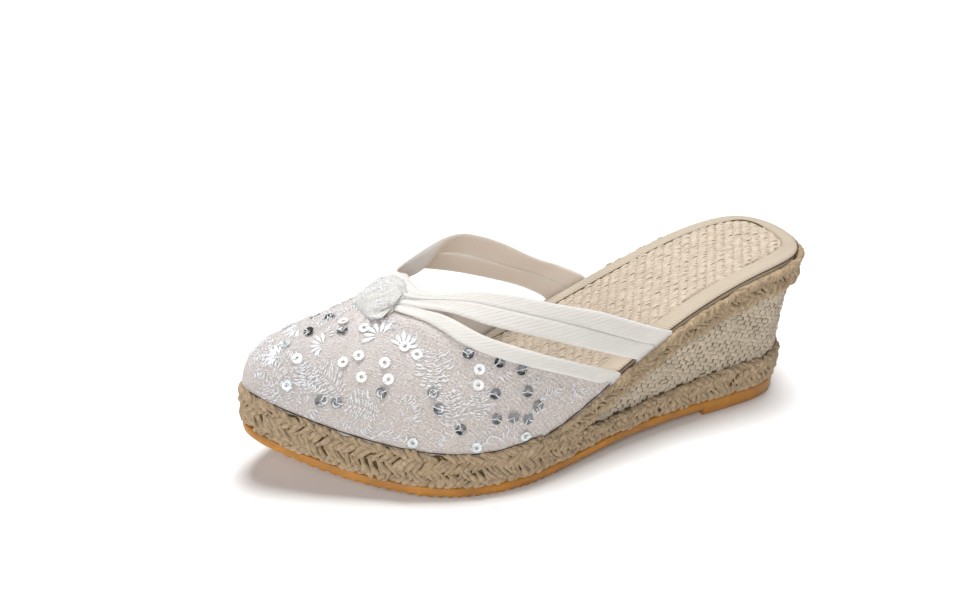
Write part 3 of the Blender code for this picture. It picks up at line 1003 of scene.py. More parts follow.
def tread_grooves(share, sizes):
    """Depth of the uneven grooves across the forefoot."""
    zone_start, zone_end = TREAD_ZONE
    fade_in, fade_out = TREAD_FADES
    window = smooth_step((share - zone_start) / fade_in) * smooth_step((zone_end - share) / fade_out)
    pitches = share * LENGTH / (sizes.tread_pitch / MM)
    depths = np.random.default_rng(SEED + 8).uniform(SHALLOWEST_GROOVE, 1.0, int(LENGTH))
    wave = 0.5 + 0.5 * np.tanh(GROOVE_STEEPNESS * np.sin(FULL_TURN * pitches))
    return sizes.tread_depth / MM * window * depths[pitches.astype(int)] * wave


def outsole_piece(sizes, colours):
    """Rubber outsole whose grooves across the forefoot notch its lower edge."""
    stations = turn_of(np.linspace(*TREAD_ENDS, TREAD_STATIONS))
    turns = half_ring(np.sort(np.concatenate([stations, END_TURNS, math.pi - END_TURNS])))
    share = share_of(turns)
    low, high = floor_line(share), rubber_top(share)
    grooves = tread_grooves(share, sizes)
    rings = []
    for inset, level in RUBBER_PROFILE:
        notch = grooves * np.clip(1 - NOTCH_TAPER * level, 0, 1)
        rings.append(place(turns, inset, low + notch + level * (high - low - notch)))
    rings = np.array(rings)
    part = ring_part(rings, rings[..., :2], gum_rubber(colours))
    add_piece("outsole_tread", [part], ["outsole"])


# The wedge's cloth: steps from float to float in a row and from row to row, round the sole and up its side
CLOTH_ROW = np.array([4.2, 1.3])
CLOTH_STEP = np.array([1.58, 2.32])
CLOTH_REACH = 150
CLOTH_HEIGHTS = (5, 70)
CLOTH_SINK = 0.5
CLOTH_RISE = 0.55
CLOTH_UNDER_LOWER = 0.6
CLOTH_UNDER_UPPER = 1.0

# Floats of the cloth, and how much their tilts, lengths, widths, bends and rises differ
FLOAT_ROWS = 5
FLOAT_COLUMNS = 7
FLOAT_BED = 0.15
FLOAT_TILT = 0.13
FLOAT_LENGTHS = (0.85, 1.2)
FLOAT_WIDTHS = (0.85, 1.25)
FLOAT_BEND = 0.22
FLOAT_RISES = (0.65, 1.3)

# Core of the wedge, and the groove in its side along the lower plait
CORE_STATIONS = 180
CORE_ROWS = 10
CORE_SPAN = 60
GROOVE_DEPTH = 1.8
GROOVE_WIDTH = 0.1
GROOVE_FOOT = (1.4, 1.2)
GROOVE_LIP = 0.1


def cloth_lattice():
    """Centres of the cloth's floats: distance from the heel's back, outer side positive, and height."""
    numbers = np.arange(-CLOTH_REACH, CLOTH_REACH)
    across, down = np.meshgrid(numbers, numbers)
    centres = across.reshape(-1, 1) * CLOTH_ROW + down.reshape(-1, 1) * CLOTH_STEP
    run, height = centres.T
    lowest, highest = CLOTH_HEIGHTS
    inside = (np.abs(run) < RIM_LENGTH / 2) & (height > lowest) & (height < highest)
    run, height = run[inside], height[inside]
    share = share_of(rim_turn(run))
    low = lower_braid_top(share) + GROOVE_WIDTH - CLOTH_UNDER_LOWER
    high = upper_braid_base(share) + CLOTH_UNDER_UPPER
    shown = (height > low) & (height < high)
    return run[shown], height[shown]


def wedge_pieces(sizes, colours):
    """Cloth-covered wedge: a closed core with the cloth's floats woven over its sides."""
    floats = cloth_floats(sizes, colours)
    add_piece("wedge_cloth_cover", [wedge_core(colours), floats], ["wedge"])


def wedge_core(colours):
    """Closed core of the wedge, with a groove in its side along the lower plait."""
    turns = even_ring(CORE_STATIONS)
    share = share_of(turns)
    base = rubber_top(share) + GAP / 2
    top = EDGE(share) - INSOLE_THICKNESS + INSOLE_RISE
    seam = lower_braid_top(share)
    start, foot = GROOVE_FOOT
    lip = seam + GROOVE_WIDTH
    rows = [(base, 0.0), (seam - start, 0.0), (seam - foot, GROOVE_DEPTH), (lip, GROOVE_DEPTH)]
    rows += [(lip + GROOVE_LIP + (top - seam) * t, 0.0) for t in np.linspace(0, 1, CORE_ROWS)]
    inset = CLOTH_INSET + CLOTH_SINK
    rings = np.array([place(turns, inset + depth, np.clip(height, base, top)) for height, depth in rows])
    uv = np.stack([np.broadcast_to(turns * CORE_SPAN, rings.shape[:2]), rings[..., 2]], axis=-1)
    # The core wears the ground's painted shade, which shows between the floats and in the groove.
    return ring_part(rings, uv, cloth_ground_shade(colours), flip=True)


def cloth_floats(sizes, colours):
    """The cloth's floats: short plump ovals in slanting rows, no two alike."""
    run, height = cloth_lattice()
    rng = np.random.default_rng(SEED)
    each = (len(run), 1, 1)
    along = np.linspace(-1, 1, FLOAT_COLUMNS)[None, None, :]
    across = np.linspace(-1, 1, FLOAT_ROWS)[None, :, None]
    tilt = math.atan2(CLOTH_ROW[1], CLOTH_ROW[0]) + rng.normal(0, FLOAT_TILT, each)
    long_way = along * sizes.float_length / MM / 2 * rng.uniform(*FLOAT_LENGTHS, each)
    taper = 1 - 0.15 * along**4
    wide_way = across * sizes.float_width / MM / 2 * rng.uniform(*FLOAT_WIDTHS, each) * taper
    wide_way = wide_way + FLOAT_BEND * rng.normal(0, 1, each) * along**2
    float_run = run[:, None, None] + long_way * np.cos(tilt) - wide_way * np.sin(tilt)
    float_height = height[:, None, None] + long_way * np.sin(tilt) + wide_way * np.cos(tilt)
    crown = (1 - along**6) * np.sqrt(1 - 0.88 * across**2)
    inset = CLOTH_INSET + CLOTH_SINK + FLOAT_BED - CLOTH_RISE * rng.uniform(*FLOAT_RISES, each) * crown
    points = place(rim_turn(float_run), np.broadcast_to(inset, float_run.shape), float_height)
    flat = np.stack(np.broadcast_arrays(long_way, wide_way), axis=-1)
    uv = rng.uniform(0, UV_SCATTER, (len(run), 1, 1, 2)) + flat
    return sheet_part(points, uv, cloth_float(colours))


# How each plait wraps its band: level, inset from the sole's outline and share of the band's height
LOWER_WRAP = ((0.0, 1.2, -0.09), (0.12, 0.3, 0.02), (0.5, 0.0, 0.5), (0.88, 0.2, 0.93), (1.0, 1.0, 1.02))
UPPER_WRAP = (
    (0.0, 1.0, -0.12),
    (0.10, 0.2, 0.0),
    (0.45, 0.0, 0.52),
    (0.66, 0.35, 0.80),
    (0.82, 1.3, 0.885),
    (1.0, 3.3, 0.88),
)

# Rows of a plait: the levels it lies between, how its strands slant and its shift in pitches. Lean is
# positive where strands on the outer side rise towards the heel
PlaitRow = namedtuple("PlaitRow", "low high lean shift")
LOWER_ROWS = (
    PlaitRow(0.00, 0.27, 1.0, 0.0),
    PlaitRow(0.22, 0.52, -1.4, 0.5),
    PlaitRow(0.47, 0.77, 1.1, 0.25),
    PlaitRow(0.72, 1.00, -1.4, 0.75),
)
UPPER_ROWS = (
    PlaitRow(0.00, 0.29, 0.9, 0.0),
    PlaitRow(0.22, 0.55, -1.6, 0.5),
    PlaitRow(0.49, 0.81, 0.9, 0.25),
    PlaitRow(0.74, 1.00, -1.5, 0.75),
)

# Strands of the plaits, of a few thick yarns each, and how much they differ
STRAND_STEP = np.linspace(0, 1, 9)[None, :]
STRAND_ARCH = np.sin(math.pi * (0.08 + 0.84 * STRAND_STEP))
STRAND_SIDES = 6
STRAND_YARNS = 2
STRAND_REACH = 1.35
STRAND_SLANT = 0.85
STRAND_SINK = 0.75
STRAND_TUCK = 1.4
STRAND_FILL = 0.74
SLANT_SPREAD = (0.6, 1.4)
WIDTH_SPREAD = (0.8, 1.2)
LEVEL_SPREAD = 0.04
PLACE_SPREAD = 0.14
PLUMP_SPREAD = 0.26
YARN_SPREAD = 0.20
LUMP_DEPTH = 0.24

# Where the upper plait runs out its strands sink and its backing of painted shade stops short
END_FADE = 2.6
END_SINK = 1.0
BARE_END = 6.0

# The lower plait laps over the vamp's edge, from one place along the shoe to the toe
LAP = 2.0
LAP_START = 0.44
LAP_FADE = 0.13

SHADE_BACKING_DEPTH = 1.05
SHADE_BACKING_COLUMNS = 420
SHADE_BACKING_ROWS = 9
FIBRE_HALF = 0.045
FIBRE_STEPS = 5
FIBRES_PER_STRAND = 5

Band = namedtuple("Band", "base top inset rise span rows")
Strands = namedtuple("Strands", "start level half_width steep sink")


def braid_band(base, top, wrap, span, rows):
    """Band that a plait covers. Span is what the plait's wrap adds to the band's height."""
    levels, insets, rises = zip(*wrap)
    return Band(base, top, Spline(levels, insets), Spline(levels, rises), span, rows)


def plait_top(share):
    """Top of the lower plait, which covers the vamp's edge along the forefoot."""
    return lower_braid_top(share) + LAP * smooth_step((share - LAP_START) / LAP_FADE)


LOWER_BAND = braid_band(lower_braid_base, plait_top, LOWER_WRAP, 0.0, LOWER_ROWS)
UPPER_BAND = braid_band(upper_braid_base, EDGE, UPPER_WRAP, 3.2, UPPER_ROWS)


def band_point(band, run, level):
    """Points on a band at a distance along the rim and a level from its lower edge to its upper one."""
    turn = rim_turn(run)
    share = share_of(turn)
    base, top = band.base(share), band.top(share)
    return place(turn, band.inset(level), base + (top - base) * band.rise(level))


def band_normal(band, run, level):
    """Directions straight out of a band."""
    upward = band_point(band, run, level + 0.02) - band_point(band, run, level - 0.02)
    onward = band_point(band, run + 0.3, level) - band_point(band, run - 0.3, level)
    return unit(np.cross(upward, onward))


def band_shear(band, runs):
    """How far strands lean so that they cross a climbing band squarely."""
    before, after = share_of(rim_turn(runs - 1)), share_of(rim_turn(runs + 1))
    slope = (band.base(after) + band.top(after) - band.base(before) - band.top(before)) / 4
    return slope / (1 + slope**2)


def row_strands(band, runs, pitch, row, rng):
    """Middle lines of one row's strands, with their half widths, steepness and depth."""
    each = (len(runs), 1)
    share = share_of(rim_turn(runs))
    height = (band.top(share) - band.base(share))[:, None]
    tall = (height + band.span) * (row.high - row.low)
    climb = STRAND_REACH * (STRAND_STEP - 0.5)
    slant = row.lean * STRAND_SLANT * rng.uniform(*SLANT_SPREAD, each) + band_shear(band, runs)[:, None]
    steep = math.sqrt(1 + (row.lean * STRAND_SLANT) ** 2)
    half_width = np.minimum(STRAND_FILL * pitch / steep, 0.9 * tall) * rng.uniform(*WIDTH_SPREAD, each)
    level = (row.high + row.low) / 2 + (row.high - row.low) * climb + rng.normal(0, LEVEL_SPREAD, each)
    start = runs[:, None] + rng.normal(0, PLACE_SPREAD * pitch, each) - slant * tall * climb
    buried = END_SINK * (1 - smooth_step((height - LEAST_BRAID_HEIGHT) / END_FADE))
    sink = STRAND_SINK + rng.normal(0, PLUMP_SPREAD, each) + buried
    return Strands(start, np.clip(level, 0, 1), half_width, steep, sink)


def wobble(rng, count, slow, fast):
    """Waves along strands, each with its own rate and phase."""
    each = (count, 1)
    return np.sin(STRAND_STEP * rng.uniform(slow, fast, each) + rng.uniform(0, FULL_TURN, each))


def plait_row(band, runs, pitch, row, rng, finish):
    """One row of short slanting strands of lumpy yarns, whose ends tuck under the rows beside it."""
    count = len(runs)
    strands = row_strands(band, runs, pitch, row, rng)
    paths, normals, widths = [], [], []
    for yarn in np.linspace(-1, 1, STRAND_YARNS):
        lumps = 1 + LUMP_DEPTH * wobble(rng, count, 5, 12)
        wander = PLACE_SPREAD * pitch * wobble(rng, count, 3, 7)
        apart = yarn * (1 - 1 / STRAND_YARNS) * strands.half_width * strands.steep
        run = strands.start + wander + apart * (0.8 + 0.2 * STRAND_ARCH)
        level = np.broadcast_to(strands.level, run.shape)
        outward = band_normal(band, run, level)
        rounding = 0.2 * yarn**2 + rng.normal(0, YARN_SPREAD, (count, 1))
        sink = strands.sink + rounding + STRAND_TUCK * (1 - STRAND_ARCH) ** 1.3
        paths.append(band_point(band, run, level) - sink[..., None] * outward)
        normals.append(outward)
        widths.append(1.12 * strands.half_width / STRAND_YARNS * (0.7 + 0.3 * STRAND_ARCH) * lumps)
    widths = np.concatenate(widths)
    return strand_part(np.concatenate(paths), np.concatenate(normals), widths, widths, finish, STRAND_SIDES)


def painted_shade_backing(band, start, end, finish):
    """Band behind the strands in dark painted shade, for the shade that shows through the gaps between them.
    """
    columns, rows = np.linspace(start, end, SHADE_BACKING_COLUMNS), np.linspace(0.02, 0.98, SHADE_BACKING_ROWS)
    run, level = np.meshgrid(columns, rows)
    points = band_point(band, run, level) - SHADE_BACKING_DEPTH * band_normal(band, run, level)
    uv = np.stack([run, level * 12], axis=-1)
    return sheet_part(points[None], uv[None], finish)


def stray_fibres(band, runs, rng, finish):
    """Fine loose fibres that stand off a plait."""
    count = len(runs)
    level = rng.uniform(0.05, 0.78, count)
    reach = rng.uniform(0.3, 1.3, count)
    lean = rng.normal(0, 2.4, (count, 2))
    step = np.linspace(0, 1, FIBRE_STEPS)[None, :]
    run = runs[:, None] + lean[:, :1] * step
    levels = np.clip(level[:, None] + 0.04 * lean[:, 1:] * step, 0.02, 0.80)
    lift = reach[:, None] * np.sin(math.pi * 0.62 * step) - 0.4
    normals = band_normal(band, run, levels)
    paths = band_point(band, run, levels) + lift[..., None] * normals
    return strand_part(paths, normals, FIBRE_HALF, FIBRE_HALF, finish, 3)


def plait(name, node, band, ends, pitch, colours, rng):
    """Plait that covers a band between two distances along the rim, with its backing of painted shade and
    stray fibres.
    """
    start, end = ends
    count = int(round((end - start) / pitch))
    runs = start + (np.arange(count) + 0.5) * (end - start) / count
    bare = 0.0 if end - start >= RIM_LENGTH else BARE_END
    strand = jute_strand(colours)
    # The backing is painted shade: a dark sheet where the gaps between strands show shade.
    parts = [painted_shade_backing(band, start + bare, end - bare, painted_jute_shade(colours))]
    for row in band.rows:
        parts.append(plait_row(band, runs + row.shift * pitch, pitch, row, rng, strand))
    parts.append(stray_fibres(band, rng.uniform(start, end, count * FIBRES_PER_STRAND), rng, strand))
    add_piece(name, parts, [node])


def upper_band_run():
    """Distance along the rim at which the upper plait runs out at the waist."""
    turns = np.linspace(0, math.pi, 721)
    share = share_of(turns)
    tall = EDGE(share) - upper_braid_base(share) > LEAST_BRAID_HEIGHT
    return float(np.interp(turns[tall].max(), RIM_TURNS, RIM_RUNS))


def braid_pieces(sizes, colours):
    """Both plaited jute bands."""
    rng = np.random.default_rng(SEED + 1)
    whole = (0.0, RIM_LENGTH)
    plait("lower_plait", "lower_braid", LOWER_BAND, whole, sizes.plait_pitch / MM, colours, rng)
    rng = np.random.default_rng(SEED + 2)
    reach = upper_band_run()
    part_way = (-reach, reach)
    plait("upper_plait", "upper_braid", UPPER_BAND, part_way, sizes.top_plait_pitch / MM, colours, rng)


# The footbed's binding, the cords of painted shade along its seams and the straw weave inside it
RIM_INSET = BRAID_THICKNESS + GAP
INNER_NARROWING = 0.25
HEEL_NARROWING = 0.30
SEAM_SHADE_HALF = 0.26
SEAM_SHADE_SIDES = 6
SEAM_SHADE_RISE = 1.1
OUTER_SEAM_SHADE_SINK = 1.5
OUTER_SEAM_SHADE_RISE = 0.20
STRAW_PITCH = 2.9
WEAVE_LEAN = -0.71
STRAWS = 2
STRAW_ROWS = 5
STRAW_COLUMNS = 7
WARP_RISE = 0.85
WEFT_RISE = 0.45
WEFT_TINT = 0.76
STRAW_LENGTH = 0.57
STRAW_WIDTH = 0.55
THREAD_LENGTH = 0.6
THREAD_WIDTH = 0.22
WEAVE_MARGIN = 2.0
WEAVE_COLUMNS = np.arange(-20, 21)
WEAVE_ROWS = np.arange(-50, 51)
PAD_STATIONS = 160

# Section of the footbed's pad: inset and height over the footbed's edge
PAD_PROFILE = ((0.1, INSOLE_RISE - INSOLE_THICKNESS), (0.0, -1.4), (0.6, 0.05), (1.6, 0.3))


def straw_pieces(bases, long_half, wide_half, rise, width, rng, finish):
    """Short straws, bowed up in the middle, tucked under at their ends and under the binding."""
    along = np.linspace(-1, 1, STRAW_COLUMNS)[None, None, :, None]
    across = np.linspace(-1, 1, STRAW_ROWS)[None, :, None, None]
    each = (len(bases), 1, 1, 1)
    long_way = along * rng.uniform(0.92, 1.08, each)
    wide_way = across * rng.uniform(0.9, 1.15, each) + rng.normal(0, 0.22, each) * long_way
    plan = bases[:, None, None] + long_way * long_half + wide_way * wide_half
    bow = np.cos(along[..., 0] * math.pi / 2) ** 0.55
    lift = rise * rng.uniform(0.7, 1.25, each[:3]) * bow - 0.35 * across[..., 0] ** 2 - 0.05
    covered = ~inside_footbed(plan[..., 0], plan[..., 1], width, SEAM_SHADE_HALF * 1.4)
    height = footbed_height(plan[..., 1]) + np.where(covered, -1.2, lift)
    points = np.concatenate([plan, height[..., None]], axis=-1)
    reach = np.concatenate(np.broadcast_arrays(long_way, wide_way), axis=-1)
    flat = reach * np.array([np.linalg.norm(long_half), np.linalg.norm(wide_half)])
    return sheet_part(points, rng.uniform(0, UV_SCATTER, (len(bases), 1, 1, 2)) + flat, finish)


BINDING_STATIONS = 721

# Section of the twill binding: inset and height over the footbed's edge
BINDING_PROFILE = (
    (0.0, -2.2),
    (-0.2, -0.6),
    (0.15, 0.75),
    (1.1, 1.35),
    (2.6, 1.6),
    (4.4, 1.65),
    (6.2, 1.55),
    (7.5, 1.25),
    (8.2, 0.65),
    (8.3, -0.5),
)


def footbed_height(y):
    """Height of the footbed at a place along the shoe."""
    return EDGE(np.clip((LENGTH / 2 - y) / LENGTH, 0, 1)) + INSOLE_RISE


def inside_footbed(x, y, width, further):
    """Whether points lie further in than the footbed's binding, whose greatest width is given."""
    turns = np.linspace(0.02, math.pi - 0.02, 400)
    edge = EDGE(share_of(turns))
    outer = place(turns, RIM_INSET + binding_width(turns, width) + further, edge)
    inner = place(FULL_TURN - turns, RIM_INSET + binding_width(FULL_TURN - turns, width) + further, edge)
    right = np.interp(-y, -outer[:, 1], outer[:, 0], left=-1e3, right=-1e3)
    left = np.interp(-y, -inner[:, 1], inner[:, 0], left=1e3, right=1e3)
    return (x < right) & (x > left)


def binding_width(turns, width):
    """Width of the binding, which is narrower on the inner side, round the heel and towards the toe."""
    inner = INNER_NARROWING * smooth_step(-3.0 * np.sin(turns))
    heel = HEEL_NARROWING * smooth_step(1 - share_of(turns) / 0.06)
    return width * np.clip((1 - share_of(turns)) / 0.12, 0.35, 1) * (1 - inner) * (1 - heel)


def straw_weave(sizes, colours):
    """Pairs of straws along the foot that dip between low threads across it."""
    cell, width = sizes.straw_cell / MM, sizes.binding_width / MM
    columns, rows = np.meshgrid(WEAVE_COLUMNS, WEAVE_ROWS)
    across = columns.ravel() * STRAW_PITCH
    centres = np.stack([across, rows.ravel() * cell + WEAVE_LEAN * across], axis=-1)
    centres = centres[inside_footbed(centres[:, 0], centres[:, 1], width, -WEAVE_MARGIN)]
    beside = STRAW_PITCH / STRAWS * np.array([1.0, WEAVE_LEAN])
    bases = np.concatenate([centres + (k - (STRAWS - 1) / 2) * beside for k in range(STRAWS)])
    between = centres + np.array([0.0, cell / 2])
    rng = np.random.default_rng(SEED + 3)
    ahead = np.array([0.0, STRAW_LENGTH * cell])
    half_straw = np.array([-STRAW_WIDTH * STRAW_PITCH / STRAWS, 0.0])
    warp_finish = straw("warp_straw", colours, 1.0)
    warp = straw_pieces(bases, ahead, half_straw, WARP_RISE, width, rng, warp_finish)
    cross = STRAW_PITCH * THREAD_LENGTH * np.array([1.0, WEAVE_LEAN])
    half_thread = np.array([0.0, THREAD_WIDTH * cell])
    weft_finish = straw("weft_straw", colours, WEFT_TINT)
    weft = straw_pieces(between, cross, half_thread, WEFT_RISE, width, rng, weft_finish)
    return [warp, weft]


def footbed_pieces(sizes, colours):
    """Padded footbed with its straw weave, and the twill binding round it."""
    turns = even_ring(PAD_STATIONS)
    edge = EDGE(share_of(turns))
    rings = np.array([place(turns, RIM_INSET + inset, edge + rise) for inset, rise in PAD_PROFILE])
    pad = ring_part(rings, rings[..., :2], straw_ground(colours), flip=True)
    footbed = add_piece("footbed_weave", [pad, *straw_weave(sizes, colours)], ["insole"])
    binding_piece(sizes, colours)


def binding_piece(sizes, colours):
    """Twill binding round the footbed, with dark cords of painted shade along both its edges, for the shade
    in the gaps there.
    """
    ring = np.linspace(0, FULL_TURN, BINDING_STATIONS)
    edge = EDGE(share_of(ring))
    width = binding_width(ring, sizes.binding_width / MM)
    whole = BINDING_PROFILE[-1][0]
    rows = [place(ring, RIM_INSET + inset / whole * width, edge + rise) for inset, rise in BINDING_PROFILE]
    run = np.interp(ring, RIM_TURNS, RIM_RUNS)
    uv = [np.stack([run, np.full_like(run, inset)], axis=-1) for inset, _ in BINDING_PROFILE]
    cloth = twill("binding_twill", tuple(colours.binding), 1.05, math.radians(38), 0.86, 0.30, {})
    band = sheet_part(np.array(rows)[None], np.array(uv)[None], cloth)
    # Dark cords along the binding's edges: painted shade for the gaps beside it.
    sunk = OUTER_SEAM_SHADE_SINK * smooth_step(3.0 * np.sin(ring) + 0.6)
    inner_edge = place(ring, RIM_INSET + width + SEAM_SHADE_HALF, edge + SEAM_SHADE_RISE - sunk)
    outer_edge = place(ring, np.full_like(ring, RIM_INSET - SEAM_SHADE_HALF), edge + OUTER_SEAM_SHADE_RISE)
    seam_shade_lines = seam_shade_cords(np.stack([inner_edge, outer_edge]), colours)
    add_piece("footbed_binding", [band, seam_shade_lines])


def seam_shade_cords(paths, colours):
    """Thin cords along an array of paths, coloured in painted shade for the dark gaps along seams."""
    upward = np.broadcast_to(np.array([0.0, 0.0, 1.0]), paths.shape)
    return strand_part(paths, upward, SEAM_SHADE_HALF, SEAM_SHADE_HALF, painted_jute_shade(colours), SEAM_SHADE_SIDES)


# The vamp's grid, its skirts behind the plaits, the cord of painted shade along its seam, and its tucks and
# gathers at the tapes and the knot
VAMP_ROWS = 90
VAMP_ARCS = 181
VAMP_END = 0.9985
VAMP_SKIRT = np.array([0, 0, 2.4])
EDGE_SEAM_SHADE_STEPS = 160
EDGE_SEAM_SHADE_LIFT = 0.12
KNOT_SHARE = 0.775
VAMP_TUCK = 0.010
APEX_TUCK = 0.014
GATHERS = 13

# Small steps of share and arc to either side of a place on the vamp
FRAME_STEPS = (0.004, 0.02)


def crease_relief(share, arc):
    """Rise of the listed creases, in millimetres."""
    relief = np.zeros(np.broadcast(share, arc).shape)
    for crease in CREASES:
        from_x, from_y = crease.share * LENGTH, crease.arc * ARC_SPAN
        to_x, to_y = crease.to_share * LENGTH, crease.to_arc * ARC_SPAN
        dx, dy = to_x - from_x, to_y - from_y
        px, py = share * LENGTH - from_x, arc * ARC_SPAN - from_y
        along = np.clip((px * dx + py * dy) / (dx * dx + dy * dy), 0, 1)
        away = np.hypot(px - along * dx, py - along * dy)
        fade = np.sin(math.pi * np.clip(along * 0.85 + 0.15, 0, 1))
        relief = relief + crease.rise * fade * np.exp(-((away / crease.width) ** 2))
    return relief


def vamp_edge(arc):
    """Place along the shoe of the lace's edge, which lies under the front tape and the loop."""
    apex = np.exp(-(((arc - 1) / 0.16) ** 2))
    return tape_share("throat", arc) - VAMP_TUCK - APEX_TUCK * apex


def vamp_relief(share, arc):
    """How far the lace stands off the foot's form: creases, gathers at the knot and puckers at the sole."""
    ahead, aside = (share - KNOT_SHARE) * LENGTH, (arc - 1) * ARC_SPAN
    reach = np.hypot(ahead, aside)
    fan = np.arctan2(aside, ahead)
    pleats = np.abs(np.sin(GATHERS * fan + 0.5 * np.sin(3 * fan))) - 0.5
    gathers = 2.0 * np.exp(-reach / 14) * pleats * reach / (reach + 4)
    from_sole = np.minimum(arc, 2 - arc) * ARC_SPAN
    puckers = 0.25 * np.exp(-from_sole / 4) * np.cos(FULL_TURN * share * LENGTH / 9.0)
    toe = smooth_step((1 - share) / 0.06)
    under_tape = smooth_step((share - vamp_edge(arc)) / 0.018)
    return (crease_relief(share, arc) + gathers + puckers) * toe * under_tape


def vamp_piece(colours):
    """Hollow vamp: lace outside, lining inside, open at the throat and underneath."""
    arcs = np.linspace(0, 2, VAMP_ARCS)[None, :]
    first = turn_of(vamp_edge(arcs))
    rows = np.linspace(0, VAMP_END, VAMP_ROWS)[:, None]
    share = share_of(first + (math.pi - first) * rows)
    relief = vamp_relief(share, arcs)
    outside = skirted(foot_form(share, arcs, relief), VAMP_SKIRT)
    inside = skirted(foot_form(share, arcs, np.minimum(relief, 0) * 0.5 - VAMP_WALL * 0.7), VAMP_SKIRT)
    uv = skirted(np.stack(np.broadcast_arrays(share * LENGTH, arcs * ARC_SPAN), axis=-1), 0.0)
    hem, hem_uv = np.stack([outside[0], inside[0]]), np.stack([uv[0], uv[0]])
    lace = sheer_lace("sheer_lace", tuple(colours.lace), tuple(colours.lace_shade))
    parts = [
        sheet_part(outside[None], uv[None], lace, flip=True),
        sheet_part(inside[None], uv[None], lining_cloth(colours)),
        sheet_part(hem[None], hem_uv[None], lace),
        edge_seam_shade(colours),
    ]
    add_piece("lace_vamp", parts, ["upper"])


def skirted(grid, drop):
    """Grid of points with one more column at both sides, moved down from its neighbour by a drop."""
    return np.concatenate([grid[:, :1] - drop, grid, grid[:, -1:] - drop], axis=1)


def edge_seam_shade(colours):
    """Cords of painted shade in the corner between the vamp and the plaits, on both sides, for the dark gap
    there.
    """
    share = np.linspace(float(vamp_edge(0.0)) + 0.004, 0.994, EDGE_SEAM_SHADE_STEPS)
    climb = np.linspace(0, 0.3, 40)
    bound = EDGE(share) - upper_braid_base(share) > LEAST_BRAID_HEIGHT
    seam = np.maximum(plait_top(share), np.where(bound, EDGE(share), 0.0)) + EDGE_SEAM_SHADE_LIFT
    paths = []
    for arcs in (climb, 2 - climb):
        heights = foot_form(share[:, None], arcs[None, :], 0.0)[..., 2]
        arc = np.array([np.interp(level, height, arcs) for level, height in zip(seam, heights)])
        paths.append(foot_form(share, arc, EDGE_SEAM_SHADE_LIFT))
    return seam_shade_cords(np.array(paths), colours)


def on_lace(share, arc, lift):
    """Points above the lace."""
    return foot_form(share, arc, vamp_relief(share, arc) + lift)


def lace_frame(share, arc):
    """Directions to the toe and across at a place on the vamp, and the steps of share and arc per millimetre
    along them."""
    step, swing = FRAME_STEPS
    ahead = (foot_form(share + step, arc, 0.0) - foot_form(share - step, arc, 0.0)) / (2 * step)
    over = (foot_form(share, arc + swing, 0.0) - foot_form(share, arc - swing, 0.0)) / (2 * swing)
    toward = ahead / np.linalg.norm(ahead)
    aside = over - toward * (over @ toward)
    aside /= np.linalg.norm(aside)
    steps = np.linalg.pinv(np.stack([ahead, over], axis=1)) @ np.stack([toward, aside], axis=1)
    return toward, aside, steps


def bent_line(points, steps):
    """Evenly many points along a smooth line through a few given ones."""
    points = np.asarray(points, float)
    knots = np.linspace(0, 1, len(points))
    where = np.linspace(0, 1, steps)
    return np.stack([Spline(knots, points[:, 0])(where), Spline(knots, points[:, 1])(where)], axis=-1)


STITCH_STEPS = 5
STITCH_RISE = 0.28
LINE_STEPS = 25
FLECKS_PER_MM = 3.6

# Bends of a spray's stem as shares of its length, and of a vine's as shares of half its length
SPRAY_STEM = ((-0.5, -0.1), (0, 0.16), (0.5, -0.06))
VINE_STEM = ((-1, 0), (-0.4, 0.30), (0.1, -0.1), (0.6, 0.26), (1, 0))


def stitch(start, end, bow=0.12):
    """Short slightly bowed stitch between two points of the plane."""
    start, end = np.asarray(start, float), np.asarray(end, float)
    middle = (start + end) / 2 + bow * np.array([start[1] - end[1], end[0] - start[0]])
    return bent_line([start, middle, end], STITCH_STEPS)


def fern(length, rng):
    """Rows of short broken stitches on both sides of a curve, longest near its middle."""
    stem = bent_line([(-length / 2, 0), (0, 0.07 * length), (length / 2, 0)], LINE_STEPS)
    stitches = []
    for t in np.linspace(0.04, 0.98, int(length * 1.1)):
        foot = stem[int(t * (LINE_STEPS - 1))]
        for side in (-1, 1):
            blade = length * 0.48 * math.sin(math.pi * (0.16 + 0.72 * t)) * rng.uniform(0.6, 1.25)
            lean = math.radians(72) + rng.normal(0, 0.16)
            tip = foot + blade * np.array([math.cos(lean), side * math.sin(lean)])
            for begin, end in ((0.08, 0.46), (0.56, 1.0)):
                shift = foot + rng.normal(0, 0.10, 2)
                stitches.append(stitch(shift + begin * (tip - foot), shift + end * (tip - foot), side * 0.1))
    return stitches, []


def flecks(length, rng):
    """Short stray stitches strewn round a motif."""
    feet = rng.normal(0, 0.55 * length, (int(FLECKS_PER_MM * length), 2))
    lean = rng.uniform(0, FULL_TURN, len(feet))
    blade = rng.uniform(0.6, 1.7, len(feet))
    tips = feet + blade[:, None] * np.stack([np.cos(lean), np.sin(lean)], axis=-1)
    return [stitch(foot, tip) for foot, tip in zip(feet, tips)]


def blossom(length, rng):
    """Satin petals that fan out from one point."""
    stitches = []
    for petal in np.linspace(-1.25, 1.25, 6):
        reach = length * 0.62 * rng.uniform(0.85, 1.05)
        for strand in np.linspace(-1, 1, 6):
            spread = petal + 0.16 * strand
            foot = 0.22 * reach * np.array([math.cos(petal), math.sin(petal)])
            far = reach * (1 - 0.22 * strand**2) * rng.uniform(0.92, 1.05)
            tip = far * np.array([math.cos(spread), math.sin(spread)])
            stitches.append(stitch(foot, tip, 0.05))
    return stitches, []


